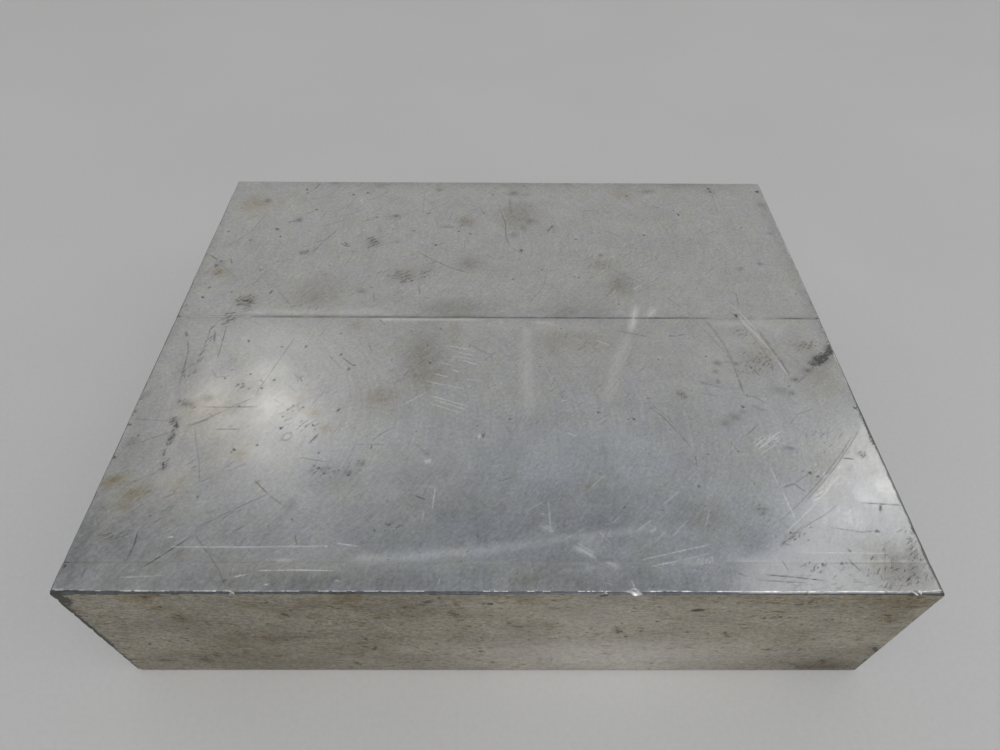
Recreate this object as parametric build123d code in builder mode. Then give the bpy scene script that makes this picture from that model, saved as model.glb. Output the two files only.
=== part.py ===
from build123d import *
import os

# A saw-cut length of flat aluminium bar, with its upper face milled.
# Millimetres. X runs along the length, Y across the width from front to back, and Z up.
# The origin is the middle of the underside.

# Stock: the section of the bar and the length that was cut from it
bar_length = 247.65
bar_width = 203.2
bar_thickness = 63.5
mill_corner_radius = 0.8

# Milled upper face: three passes along the length, side by side, each at its own height
back_pass_width = 93.3
front_strip_width = 9.0
back_pass_rise = 0.2
front_strip_rise = 0.1

# Broken edges: the bevels on the upper face, and the file touch on the sawn edges
upper_bevel = 0.7
end_bevel = 0.8
sawn_edge_break = 0.3

# Knocked corners: how deep each blow has flattened the corner, along its diagonal
front_left_knock = 0.9
front_right_knock = 1.0
lower_left_knock = 1.3

# Nicks on the upper front edge: distance from the middle of the bar, width and depth of each
large_nick = (37.3, 5.2, 1.15)
right_nick = (115.2, 5.4, 0.85)
shallow_nicks = ((-73.5, 2.2, 0.7), (29.0, 2.4, 0.65), (85.2, 2.6, 0.65))
front_edge_nicks = (large_nick, right_nick) + shallow_nicks

# Nicks down the sawn front left edge: height above the underside, width and depth of each
left_edge_nicks = ((58.8, 3.2, 0.7), (49.0, 2.6, 0.5), (36.7, 3.0, 0.5), (18.0, 2.2, 0.4))

half_length = bar_length / 2
half_width = bar_width / 2
middle_pass_height = bar_thickness - back_pass_rise
front_strip_height = middle_pass_height + front_strip_rise
back_pass_line = half_width - back_pass_width
front_strip_line = front_strip_width - half_width


def knock_plane(x_side, z_side, depth):
    """The flat that a blow leaves on a front corner of the bar."""
    outward = Vector(x_side, -1, z_side).normalized()
    corner_height = front_strip_height if z_side > 0 else 0
    corner = Vector(x_side * half_length, -half_width, corner_height)
    return Plane(origin=corner - outward * depth, z_dir=outward)


def scoop(edge_point, outward, width, depth):
    """A round nick, as wide and as deep as stated, in an edge that points outward between its two faces."""
    radius = (width**2 / 4 + depth**2) / (2 * depth)
    centre = edge_point + outward.normalized() * (radius - depth)
    with Locations(centre):
        Sphere(radius, mode=Mode.SUBTRACT)


with BuildPart() as bar:
    # Section of the bar across its width, with the three heights of the milled upper face
    with BuildSketch(Plane.YZ):
        with BuildLine():
            Polyline(
                (-half_width, 0),
                (half_width, 0),
                (half_width, bar_thickness - upper_bevel),
                (half_width - upper_bevel, bar_thickness),
                (back_pass_line, bar_thickness),
                (back_pass_line, middle_pass_height),
                (front_strip_line, middle_pass_height),
                (front_strip_line, front_strip_height),
                (-half_width + upper_bevel, front_strip_height),
                (-half_width, front_strip_height - upper_bevel),
                close=True,
            )
        make_face()
    extrude(amount=half_length, both=True)

    # Rolled corners on the two long lower edges
    lower_long_edges = bar.edges().filter_by(Axis.X).group_by(Axis.Z)[0]
    fillet(lower_long_edges, radius=mill_corner_radius)

    # Side view of the bar, which bevels the upper edge of each sawn end
    with BuildSketch(Plane.XZ):
        with BuildLine():
            Polyline(
                (-half_length, 0),
                (half_length, 0),
                (half_length, bar_thickness - end_bevel),
                (half_length - end_bevel, bar_thickness),
                (-half_length + end_bevel, bar_thickness),
                (-half_length, bar_thickness - end_bevel),
                close=True,
            )
        make_face()
    extrude(amount=half_width, both=True, mode=Mode.INTERSECT)

    # File touch on the four upright corners between the sides and the sawn ends
    chamfer(bar.edges().filter_by(Axis.Z).group_by(SortBy.LENGTH)[-1], length=sawn_edge_break)

    # Nicks in the upper front edge and down the front left edge
    for distance, width, depth in front_edge_nicks:
        scoop(Vector(distance, -half_width, front_strip_height), Vector(0, -1, 1), width, depth)
    for height, width, depth in left_edge_nicks:
        scoop(Vector(-half_length, -half_width, height), Vector(-1, -1, 0), width, depth)

    # Corners flattened by knocks
    for knock in (
        knock_plane(-1, 1, front_left_knock),
        knock_plane(1, 1, front_right_knock),
        knock_plane(-1, -1, lower_left_knock),
    ):
        split(bisect_by=knock, keep=Keep.BOTTOM)

bar.part.label = "bar"

os.makedirs("parts", exist_ok=True)
export_step(bar.part, "parts/bar.step")
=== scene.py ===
import math
from bisect import bisect_left, bisect_right
from collections import defaultdict

import bpy
import numpy as np
from mathutils import Matrix, Vector


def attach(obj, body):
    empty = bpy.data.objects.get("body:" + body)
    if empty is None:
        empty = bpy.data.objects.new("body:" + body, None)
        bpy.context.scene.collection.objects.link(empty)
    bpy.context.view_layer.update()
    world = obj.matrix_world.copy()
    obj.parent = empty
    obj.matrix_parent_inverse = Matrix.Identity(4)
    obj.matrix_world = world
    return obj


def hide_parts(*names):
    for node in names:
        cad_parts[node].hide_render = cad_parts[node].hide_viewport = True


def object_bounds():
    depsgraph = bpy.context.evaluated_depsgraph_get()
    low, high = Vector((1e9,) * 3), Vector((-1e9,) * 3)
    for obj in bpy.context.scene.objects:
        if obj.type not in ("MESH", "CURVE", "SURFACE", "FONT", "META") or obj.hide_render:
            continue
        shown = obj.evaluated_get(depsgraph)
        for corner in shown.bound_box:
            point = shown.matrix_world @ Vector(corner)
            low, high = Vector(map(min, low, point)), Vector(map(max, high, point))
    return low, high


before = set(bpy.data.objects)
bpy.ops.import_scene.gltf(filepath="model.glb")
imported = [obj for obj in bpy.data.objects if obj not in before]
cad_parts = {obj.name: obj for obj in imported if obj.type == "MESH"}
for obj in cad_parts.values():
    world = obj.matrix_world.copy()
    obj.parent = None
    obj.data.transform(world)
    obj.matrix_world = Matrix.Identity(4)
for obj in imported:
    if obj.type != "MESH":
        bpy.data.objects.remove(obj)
cad_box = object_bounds()

# The bar lies along X, with its front side at the low end of Y and its milled face up. Sizes are in metres.
MM = 0.001
LOW = np.array(cad_box[0])
HIGH = np.array(cad_box[1])
SIZE = HIGH - LOW
WIDTH = SIZE[1]

# Milled face: where one pass of the cutter meets the next, how far each pass stands below the highest, and
# how wide the slope of a step between two passes is
BACK_LINE = HIGH[1] - 93.3 * MM
FRONT_LINE = LOW[1] + 9.0 * MM
MIDDLE_DROP = 0.2 * MM
FRONT_DROP = 0.1 * MM
STEP_SLOPE = 0.12 * MM
CUTTER_RADIUS_MM = 50.8

# Broken edges: the legs of the bevels, and the radius of the two rolled lower corners
UPPER_BEVEL = 0.70 * MM
BACK_BEVEL = 0.7 * MM
LEFT_BEVEL = 0.8 * MM
RIGHT_BEVEL_FRONT = 1.25 * MM
RIGHT_BEVEL_BACK = 0.45 * MM
SAWN_EDGE_BREAK = 0.3 * MM
MILL_CORNER_RADIUS = 0.8 * MM
# The front bevel widens by this much over a stretch at each end
FRONT_WIDENING = 0.45 * MM
LEFT_STRETCH = 16 * MM
RIGHT_STRETCH = 9 * MM

# Nicks in the upper front edge: distance from the middle, width and depth in millimetres
FRONT_EDGE_NICKS = (
    (37.3, 5.2, 1.15), (115.2, 5.4, 0.85), (-73.5, 2.2, 0.7), (29.0, 2.4, 0.65), (85.2, 2.6, 0.65)
)
# Nicks down the sawn front left edge: height above the underside, width and depth in millimetres
LEFT_EDGE_NICKS = ((58.8, 3.2, 0.7), (49.0, 2.6, 0.5), (36.7, 3.0, 0.5), (18.0, 2.2, 0.4))
# Corners flattened by knocks: which end, upper or lower, and depth along the diagonal in millimetres
CORNER_KNOCKS = ((-1, 1, 0.9), (1, 1, 1.0), (-1, -1, 1.3))

# Camera, solved from the outline of the bar in the photograph
CAMERA_PLACE = (-0.0011, -0.17862, 0.2409)
CAMERA_YAW = -0.529
CAMERA_PITCH = -48.436
CAMERA_ROLL = 0.572
LENS_MM = 24.084
SENSOR_MM = 36.0
CLIP_START = 0.01

# Marks on the milled face. Places are in millimetres: from the middle of the bar, and from its front edge.
# Each scratch is a row of places, x and y by turns. Its kind says its width, its depth, the dirt in it and
# the bare metal that it shows; in the bright kind, and in part of the pale one, that is a painted glint.
SCRATCH_KINDS = {
    "heavy": (0.80, 0.06, 1.0, 0.0),
    "deep": (0.52, 0.05, 0.96, 0.0),
    "broad": (0.95, 0.02, 0.56, 0.0),
    "fine": (0.44, 0.025, 0.78, 0.0),
    "faint": (0.46, 0.015, 0.42, 0.0),
    "bright": (0.38, 0.03, 0.0, 0.76),
    "pale": (0.46, 0.015, 0.0, 0.42),
}
SCRATCHES = {
    "heavy": [
        (-86.3, 196, -85.2, 199, -84.4, 201.8), (21, 164, 22.6, 166.6, 24.5, 169.5),
        (-91, 122.7, -90, 125), (-117.5, 102, -116, 99), (-106.5, 102, -105.2, 96), (115, 25.9, 116, 28.2),
        (-57.6, 89.6, -57.2, 91), (-53.8, 82.4, -53.3, 83.8), (-54.8, 63.7, -53.8, 65.2),
        (115.6, 87.4, 118, 89.4, 120, 91.6), (-107.4, 51.2, -106.8, 53.4),
    ],
    "deep": [
        (-107.4, 59.5, -106.4, 56.5), (-106.4, 43.4, -105.6, 40.4), (-105.8, 111.2, -101, 112),
        (-106, 108.6, -102, 110.4), (-104.4, 106.8, -100.4, 109.6), (-104.8, 105.4, -102.6, 107),
        (-67.6, 155.6, -65, 153.4, -63.4, 153.2), (-66.4, 156.4, -64.6, 154.2),
        (-106, 20, -105.3, 15, -105.8, 8.7), (-101, 7, -96, 11.5, -89.3, 17.6), (-5.1, 55.3, -4.9, 53),
        (-57.5, 158, -53.5, 160.3), (-56, 156.6, -52.5, 158.8), (-55, 154.8, -51.5, 157.3),
        (-56.5, 152, -50.5, 156), (-26, 31.2, -22.2, 29.6), (48, 26.4, 49.9, 26.2),
        (110.2, 45.3, 113.7, 44.9), (-41.2, 50.2, -41.4, 48.2), (-22.4, 104.2, -21.5, 103),
        (74, 5.7, 82, 5, 91, 3.9), (101, 75.5, 102.4, 75.9), (104.3, 78.2, 105.5, 79.3),
        (-7, 2, -5.4, 0.8), (67.4, 6, 69.8, 5), (85.6, 71.8, 86, 70.6), (-112, 145, -110.5, 141.5),
        (-121, 147, -117, 144), (-98.6, 138.6, -97.8, 136.9, -96.6, 138.4), (-46.8, 165.3, -45.8, 165.6),
        (78, 199, 79, 199.2), (80, 198.8, 80.9, 199.2), (98.6, 85.4, 98, 83), (91.4, 83.6, 92.6, 80.6),
    ],
    "broad": [
        (69, 78, 74.5, 76.2, 80, 74), (79, 109, 81.5, 103, 83.5, 96, 84.5, 88, 85, 72),
        (95.5, 107, 98.5, 101, 100.5, 94, 102.5, 87, 103.5, 80), (-27.6, 50.8, -24.2, 47.7, -22.3, 45.5),
        (2, 58.4, 4.2, 54.4), (-88.8, 172, -91, 171, -93.5, 170.3), (-26, 167.3, -19.5, 167.3),
        (66, 195, 69, 196.4, 72, 195.6), (113.5, 85.8, 116.5, 88.5, 120, 92, 124, 95.4),
        (86, 67.2, 88.4, 65.6, 91.5, 64.6), (64.3, 100.3, 67, 100.2), (-109.6, 60.4, -107.4, 59.6),
        (-106.2, 67.6, -104, 65.2), (5, 190, 5.5, 176), (-116.3, 8, -116.4, 3.2),
        (-103, 57.4, -96.5, 60.8), (-44.5, 42.2, -42.6, 43.4), (92, 49.4, 96.2, 49),
        (19.3, 52.8, 19.4, 51.2),
    ],
    "fine": [
        (-106.6, 55.4, -107.4, 50.8), (-107.4, 48.6, -107.2, 45.4),
        (52, 65.6, 55, 62.2, 58, 57.2, 62.4, 49), (-103, 105.5, -102.4, 98, -101.8, 88),
        (-83.3, 12, -79, 7, -75, 1), (-93.5, 56.2, -86, 56.2), (82.5, 55, 86, 58.4),
        (87.8, 34.2, 91.7, 35.6, 94.8, 32.4), (-70.5, 79.6, -69, 77), (-46.8, 38.3, -46.6, 39.6),
        (-43, 135.4, -39.4, 137.6), (-42, 133.6, -35.6, 137.8), (-41.4, 131.8, -34.4, 136.2),
        (-40.6, 130, -33.8, 134.2), (-39.2, 128.6, -33, 132.4), (-47.4, 136.2, -44.6, 138.4),
        (-50, 135.4, -47.8, 137), (-32.6, 134.4, -27, 138.6), (-31.4, 132.8, -28, 135.2),
        (-30, 141.4, -26.4, 143.2), (-99.6, 113.6, -96, 116), (-98.6, 112.4, -95.4, 114.2),
        (84.6, 71.6, 88.6, 70.6, 91.8, 67.6), (-60, 54, -61.6, 50.4), (-75.3, 8.5, -75.3, 5),
        (-89, 18, -84, 12.5, -79, 10), (-115.5, 98, -113.5, 92, -112.5, 85, -111.5, 75),
        (-101, 65.6, -92, 65.5, -82, 65.7), (-76, 36.5, -70.5, 31.4), (-59.7, 17.7, -58.4, 14.4),
        (-25, 16.5, -23, 12.3), (-59.2, 54.5, -60.7, 51.5), (63, 46, 62.8, 42), (80.8, 10, 81.8, 6.7),
        (100, 10.4, 102.2, 6.4), (72, 4, 86, 3.2), (110, 28.9, 123, 28), (-46, 109, -43, 105.5),
        (0, 36, 3, 37.4, 6.5, 39.5), (-34, 149.5, -27, 144, -20, 139.5, -12, 136),
        (-70, 166, -75, 157, -79.5, 156.5), (-75.5, 156, -77, 152.5, -79, 149.5),
        (0, 182, 3, 170, 3, 160, 5, 153), (-5.5, 148.5, -2, 145), (118, 187, 122, 183),
        (-57, 89, -52, 84.5), (-48, 95, -46.5, 92), (70, 101.2, 66.5, 100.4),
        (44, 103, 50, 101.6, 57, 99.5), (94.5, 125, 94, 116.5), (52, 67, 56, 63), (-27, 154.5, -22, 156),
        (-33, 191.5, -30, 192.5), (-99, 113, -95.5, 116), (-120, 110.5, -118, 108.5),
        (-113.6, 92.4, -112.8, 90.6), (-111.4, 80.2, -110.6, 78.8),
    ],
    "faint": [
        (-84, 70, -90, 66, -100, 59), (-76, 99, -80, 85, -83.5, 73, -84, 70),
        (81.4, 14.4, 88.6, 19.6, 98.4, 25, 103.6, 28.8), (65, 123, 71, 116, 75, 111, 79, 109),
        (38, 146, 48, 138, 56, 131), (-14.8, 151, -14.6, 158), (-26.6, 120.6, -31, 121),
        (-31, 121, -33, 133), (-50, 124, -48.7, 117.8), (99.5, 194, 99.4, 187, 99, 178),
        (-34.6, 194, -34.2, 178), (91.7, 35.6, 98, 39.6), (-102.5, 83, -99.5, 79, -95, 79.5),
        (-71, 79, -70.4, 76.6), (-72.6, 81, -71, 79, -68.6, 79.6), (-46, 41.6, -42.4, 44),
        (-61, 170.6, -58, 173.4, -54.5, 174.4), (-52, 174.6, -46, 175.6),
        (-20.5, 168, -19, 174, -12.5, 174.6), (-12.5, 174.6, -12, 168.6, -19.6, 168),
        (-14, 184.4, -8.6, 182, -6, 176), (-63.6, 45, -55, 43.4), (105, 77, 110, 81.4),
        (77.6, 88, 80.6, 85), (-120, 146, -108, 134), (-108.5, 105, -108, 84), (-88, 125, -81, 116),
        (-123, 60.5, -110, 59.5), (-118, 50, -109, 54.5, -105, 58),
        (-101, 58, -98, 50, -95, 43, -92.6, 35), (-89, 20, -80, 26, -70, 32), (-120, 27.6, -117.4, 25.6),
        (-119.8, 23.6, -117.5, 20), (-62, 90, -56, 83), (-13, 97, -3, 90, -2, 86),
        (-41.1, 51.9, -39.3, 54.1, -36, 56.4), (-23, 5.6, -19, 3.4), (70, 72.5, 76, 70.8),
        (75.5, 52, 77.2, 48), (80.6, 53.4, 87.4, 59.5), (-81.7, 144.3, -77, 152, -76.8, 155),
        (-104, 124, -98, 130, -95, 138), (-66.5, 200, -66, 198), (47, 165, 54, 160),
        (96.5, 58, 101, 63, 108, 66), (40, 119, 46, 127, 49, 136), (-60, 74, -64, 66),
        (-3, 19.5, -9.5, 12), (30, 84, 36, 90), (12, 118, 18, 128, 20, 140),
        (-116, 152, -108, 163, -104, 178), (98, 20.5, 107, 19, 112, 19.5), (51.4, 135, 61, 127.4),
        (63, 48.5, 56, 63), (-70.5, 31.4, -63, 26), (5.2, 153, 12, 147), (-48, 50, -42, 50.3, -37, 50.2),
        (96, 108, 99, 102, 101.2, 94),
    ],
    # Painted glints, laid down as bare metal where light catches small marks, among a few bright scratches
    "bright": [
        (-25, 77.5, -19, 75.6), (-17.6, 75.3, -12, 74), (-19, 95, -11, 93), (-13, 87.5, -7, 85),
        (-17, 83, -14, 81.8), (-24, 71, -10, 66), (-22, 69, -10.5, 64.5), (-23, 81, -18, 79.4),
        (-16, 92, -9.6, 90), (-21, 86.4, -16.4, 85), (36, 98, 41.5, 95), (-19.7, 34.2, -20.2, 26.2),
        (22.3, 55.4, 24, 54.3, 25.7, 53.8), (21.8, 14.5, 28, 10.4), (22.2, 15.8, 27.4, 12.2),
        (41, 10.2, 52, 12.8, 62, 15.1), (43.6, 8.2, 52, 10), (87.3, 33.4, 88, 28, 88.6, 22.4),
        (83, 49.6, 88, 53.4), (87, 51.6, 94, 56.4), (84, 48.6, 90, 53), (-64, 6.8, -56, 6.9, -46, 6.7),
        (-74.2, 4.8, -70, 5.7), (-68, 6.7, -64, 6.8), (-47, 15.2, -40.5, 14.2), (37, 4.2, 37.6, 1.2),
        (84.2, 2.2, 86.2, 1), (-96.6, 17, -94.8, 17.1), (-65, 2.5, -63.8, 2.6), (-50.8, 14.3, -49.6, 14.2),
        (-24.2, 43.6, -21.4, 44.4), (-23.4, 42.9, -21.8, 43.5), (21.4, 68.8, 23.6, 69),
        (-6.7, 52.9, -6.1, 54.7), (43.4, 8.2, 45, 8.3), (12.2, 21, 14.4, 19.9, 16.4, 18.8),
        (14, 21, 15.6, 20), (97, 31.2, 100.4, 33.2), (96, 29.4, 99.2, 31.2), (44.4, 18.8, 46.4, 20.2),
        (-122.6, 0.8, -119.4, 0.9),
    ],
    # Pale marks; those near x 50, 60 and 95 are painted reflections of bright strips
    "pale": [
        (92.2, 112, 96, 103, 100, 93), (49.5, 102, 51, 107, 52.5, 113, 54, 118),
        (57, 110, 59, 112.4, 61, 115), (92.8, 109, 95.4, 102), (94.6, 111, 98, 103),
        (-22.7, 25.6, -22.8, 21.4), (-24, 67.6, -12, 63), (-12, 78.5, -7, 77.8), (-18, 89.8, -9, 88),
        (30, 9.5, 34, 8), (-95, 14, -74, 13.9, -50, 14.3), (86, 12.6, 112, 12.2), (86, 42, 87, 34),
        (-106, 4.6, -94, 5.2), (15, 30, 15.2, 18), (84, 46.6, 91, 51), (52, 10, 62, 12.5),
        (30, 17.8, 32.4, 15.4), (29, 19.6, 31, 17), (12.4, 25.2, 14, 24.6), (-17, 2.4, -16.6, 4.6),
        (-46, 3.8, -44, 3.5), (100, 92, 103, 80), (1.2, 72.4, 2.3, 72.6),
    ],
}

# Groups of short parallel strokes: middle, half sizes, direction in degrees, how many, and their kind
STROKE_GROUPS = [
    (-99, 119, 4.4, 3.2, 42, 24, "deep"), (-103, 108.4, 3, 2.8, 40, 11, "fine"),
    (-40.5, 135, 5, 3.4, 38, 20, "fine"), (-37.5, 132, 3.2, 3, 44, 8, "deep"),
    (-31, 135, 2.4, 2.2, 40, 7, "fine"), (-28, 137, 2, 5, 55, 8, "faint"),
    (-13, 142, 4.6, 3.4, 36, 12, "faint"), (-108, 95, 1.4, 10, 70, 12, "fine"),
    (-111, 82, 3.6, 3.4, 60, 9, "fine"), (-90, 75.5, 2, 1.6, 35, 6, "fine"),
    (63.5, 71, 1.8, 1.6, 40, 7, "fine"), (90.6, 86, 2.4, 6, 66, 11, "faint"),
    (96, 87, 3.4, 5.6, 62, 13, "fine"), (113, 95.5, 3.4, 2.2, 38, 9, "faint"),
    (91, 100.5, 3, 3.4, 40, 11, "faint"), (87.5, 52.2, 4.6, 2.6, 38, 12, "pale"),
    (88, 51.6, 4.4, 2.4, 38, 10, "faint"), (79.6, 26.4, 1.8, 1.8, 8, 9, "fine"),
    (-112.5, 17.5, 4.4, 1.6, 25, 13, "fine"), (87, 17.6, 4.2, 2.2, 38, 8, "fine"),
    (90, 8, 3.2, 1.6, 35, 9, "fine"), (113, 7, 8, 7, 36, 15, "fine"), (119.4, 15, 2.6, 6, 50, 16, "faint"),
    (90, 3.4, 14, 2.2, 15, 16, "faint"), (116.8, 46.7, 1.4, 1.2, 40, 6, "fine"),
    (-56, 40.4, 3.2, 2.6, 50, 10, "faint"), (-46.4, 41.4, 4, 2.4, 44, 9, "faint"),
    (-54.3, 124.8, 1.2, 1.4, 50, 5, "fine"), (8.5, 64.5, 2.8, 1.8, 45, 7, "faint"),
    (-31.8, 20.6, 2.2, 2, 50, 7, "faint"), (-119, 51, 1.6, 1.6, 30, 5, "fine"),
    (59, 10, 2.8, 1, 84, 8, "pale"), (31, 17.4, 2, 2.2, 60, 7, "pale"), (104.6, 38, 6, 6, 44, 12, "pale"),
    (108, 52, 8, 6, 46, 10, "faint"), (102, 22, 9, 6, 40, 12, "pale"),
    (-114, 136.6, 3, 2.6, 40, 8, "faint"), (-80.6, 152.4, 2.6, 2.8, 60, 6, "faint"),
    (-15.3, 171.8, 2.4, 2.4, 42, 9, "faint"), (43.5, 142, 5, 3.6, 40, 9, "faint"),
    (48.4, 128, 4.2, 5, 40, 10, "faint"), (-28, 196, 2, 1.4, 30, 5, "fine"),
    (-52.6, 199, 2, 2, 40, 6, "faint"), (57, 154, 3, 2, 35, 5, "faint"),
    (-46, 175.4, 1.8, 1.4, 35, 4, "fine"), (-64.8, 154.6, 1.6, 1.6, 40, 5, "fine"),
    (-106.2, 42.6, 1.4, 2.8, 60, 7, "fine"), (-107.6, 59, 2.2, 2.2, 44, 8, "fine"),
    (-107, 52, 1, 2.6, 64, 6, "fine"), (-34, 84, 6, 10, 50, 14, "faint"), (-66, 62, 8, 6, 40, 12, "faint"),
    (-73, 118, 9, 7, 40, 14, "faint"), (8, 171, 6, 7, 45, 10, "faint"), (60, 156, 34, 30, 40, 30, "faint"),
    (-60, 178, 56, 20, 42, 26, "faint"), (20, 80, 34, 24, 44, 22, "faint"),
    (-90, 30, 26, 14, 38, 20, "faint"), (34, 28, 40, 12, 40, 9, "pale"), (70, 140, 40, 30, 52, 4, "pale"),
    (-60, 100, 50, 40, 52, 2, "pale"),
]

# Their random draws: the seed, the scatter of their directions in degrees, and their half lengths, each a
# random share of a length in mm that grows with the group
STROKE_SEED = 7
STROKE_SCATTER = 13
STROKE_SHARES = (0.25, 0.75)
STROKE_LENGTH = 1.2
STROKE_GROWTH = 0.12

# Arcs left by something round that turned on the face: centre, radius, first and last angle, and kind.
# Their points lie at most ARC_STEP degrees apart.
ARC_STEP = 3
ARCS = [
    ((0, 68), 100.5, 8, 28, "faint"), ((-4, 60), 92.5, 12, 34, "faint"),
    ((-42, 185), 205.5, -52.5, -39.5, "faint"), ((-42, 185), 206.4, -49, -38.5, "faint"),
    ((-42, 185), 208.8, -53, -44, "pale"), ((8, 62), 104, -58, -38, "pale"),
    ((0, 68), 103.5, 18, 30, "pale"),
]

# Depth of a pit, as a share of its radius, and an angle that spreads the directions of the pits out evenly
PIT_DEPTH = 0.28
GOLDEN_TURN = 2.39996

# Pits, each with dirt in it: place and radius in mm
PITS = [
    (-72.1, 56.7, 0.65), (-66.5, 65.5, 0.4), (-78.3, 49.8, 0.45), (-85.3, 48, 0.55), (-86, 47, 0.4),
    (-57.9, 46.8, 0.4), (-56.8, 41, 0.5), (-54.8, 39, 0.45), (-92.7, 96.9, 0.5), (-71, 94.2, 0.6),
    (-79.8, 94, 0.45), (-52, 85, 0.4), (-89.5, 76, 0.45), (-88, 80.5, 0.45), (-79, 77.8, 0.5),
    (-95, 82.5, 0.4), (-96.5, 78.5, 0.35), (-87, 73.8, 0.4), (-82.5, 74, 0.5), (-76.3, 3.8, 0.5),
    (-24.8, 86.3, 0.6), (-26.3, 95, 0.35), (-11, 94.5, 0.35), (5.7, 132.3, 0.5), (33.6, 63.7, 0.55),
    (3.5, 60.7, 0.5), (31.7, 39.3, 0.4), (37.7, 27.1, 0.5), (34.2, 47, 0.35), (-6.2, 17.5, 0.4),
    (-9.2, 12.7, 0.5), (-10.8, 9.7, 0.4), (-31.4, 11, 0.4), (-31.6, 10.1, 0.3), (64.3, 100.3, 0.5),
    (57.8, 88.2, 0.4), (75.5, 89.8, 0.45), (45.3, 61, 0.6), (43.2, 60.8, 0.45), (98, 39.7, 0.65),
    (100, 38.3, 0.45), (96, 40.3, 0.3), (61.8, 34.7, 0.45), (79.4, 35.6, 0.35), (62.5, 27.7, 0.3),
    (67.3, 46.7, 0.4), (101.2, 13, 0.5), (92, 8.8, 0.5), (97.5, 8.9, 0.4), (-88.2, 65.8, 0.5),
    (83.2, 66.3, 0.55), (-5.2, 54.1, 0.95), (77.3, 47.8, 0.45), (111.6, 19.3, 0.6), (-97, 165.3, 0.95),
    (-94.5, 160, 0.5), (-106.8, 157.4, 0.6), (-117.8, 163.3, 0.6), (-82.5, 180, 0.6),
    (-116.7, 140.4, 1.15), (-115.4, 143.1, 0.65), (-46, 175.5, 0.8), (-54.6, 174.3, 0.6),
    (-89.8, 196, 0.6), (-89, 193, 0.5), (-67.5, 192, 0.7), (-61, 193.5, 0.65), (-37, 164.5, 0.55),
    (-27, 154.5, 0.7), (-31.5, 177.5, 0.6), (-17.5, 164.3, 0.6), (-12.5, 162.5, 0.5), (-7, 177.8, 0.5),
    (-2.8, 192.5, 0.55), (33.3, 158.8, 0.5), (32.3, 150.7, 0.4), (9.6, 151, 0.65), (17.7, 138.3, 0.45),
    (99.2, 195.7, 0.85), (99, 198.2, 0.75), (100.8, 194.5, 0.5), (121.5, 196, 1.1), (59.5, 192, 0.6),
    (70.5, 196, 0.5), (81, 177.3, 0.65), (79.5, 180.3, 0.4), (72.5, 182.8, 0.45), (63.3, 162, 0.6),
    (102, 149.7, 0.4), (93, 152.2, 0.45), (88.5, 166, 0.4), (-118, 53.5, 0.45), (-116.5, 120.7, 0.6),
    (-115.5, 126.5, 0.6), (-106, 124, 0.5), (-122.6, 58, 0.6), (-122.9, 45, 0.75), (-122.6, 8, 0.6),
    (30.8, 134, 0.5), (32.4, 133.4, 0.5), (47, 117.6, 0.4), (-61.5, 22.8, 0.35), (-91.8, 30.6, 0.4),
    (-99.5, 32.5, 0.3), (14.6, 84.5, 0.35), (23.5, 104, 0.3), (-59, 101, 0.4), (-33, 102.5, 0.35),
    (-98.8, 118.8, 0.75), (-51, 126.8, 0.45), (91.5, 111.3, 0.8), (116.5, 97.3, 0.45), (110.5, 83, 0.6),
    (121.6, 66, 0.5), (-71.5, 64.5, 0.4), (-70, 66.2, 0.35), (-72.5, 61.5, 0.35), (-64, 57.4, 0.4),
    (-61.8, 58, 0.35), (-66, 57.5, 0.3), (-60.8, 56.3, 0.3), (51.8, 65.6, 0.4), (48.2, 46.8, 0.3),
    (0.2, 36.6, 0.35), (57.2, 7.3, 0.4), (43.8, 5.8, 0.3), (-36.7, 19.2, 0.35), (-22.7, 12.2, 0.4),
    (-27.3, 55.4, 0.35), (51.3, 70, 0.4), (-121.4, 116, 0.4), (8, 32, 0.25), (-104, 24, 0.35),
    (-68, 20.6, 0.25), (-33.4, 21.4, 0.3), (-31.2, 19.2, 0.35), (-33.6, 19.2, 0.25), (28, 118.4, 0.35),
    (89.5, 91.2, 0.4), (90.6, 84.4, 0.45), (94.6, 88.4, 0.45), (97.9, 84.6, 0.4), (95.8, 91.6, 0.35),
    (92.2, 81.6, 0.35), (98.6, 88.2, 0.35), (-58.4, 41.8, 0.4), (-47.2, 38.4, 0.5), (-50.4, 40.2, 0.3),
    (-44.6, 43.8, 0.35), (-52.8, 37.6, 0.3), (66, 147, 0.35), (118.6, 124, 0.35), (107, 168, 0.35),
    (38, 176, 0.35), (-20, 188, 0.3), (12, 200, 0.4), (48, 199.6, 0.35), (-70, 140.4, 0.35),
    (20, 126, 0.3),
]

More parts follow.
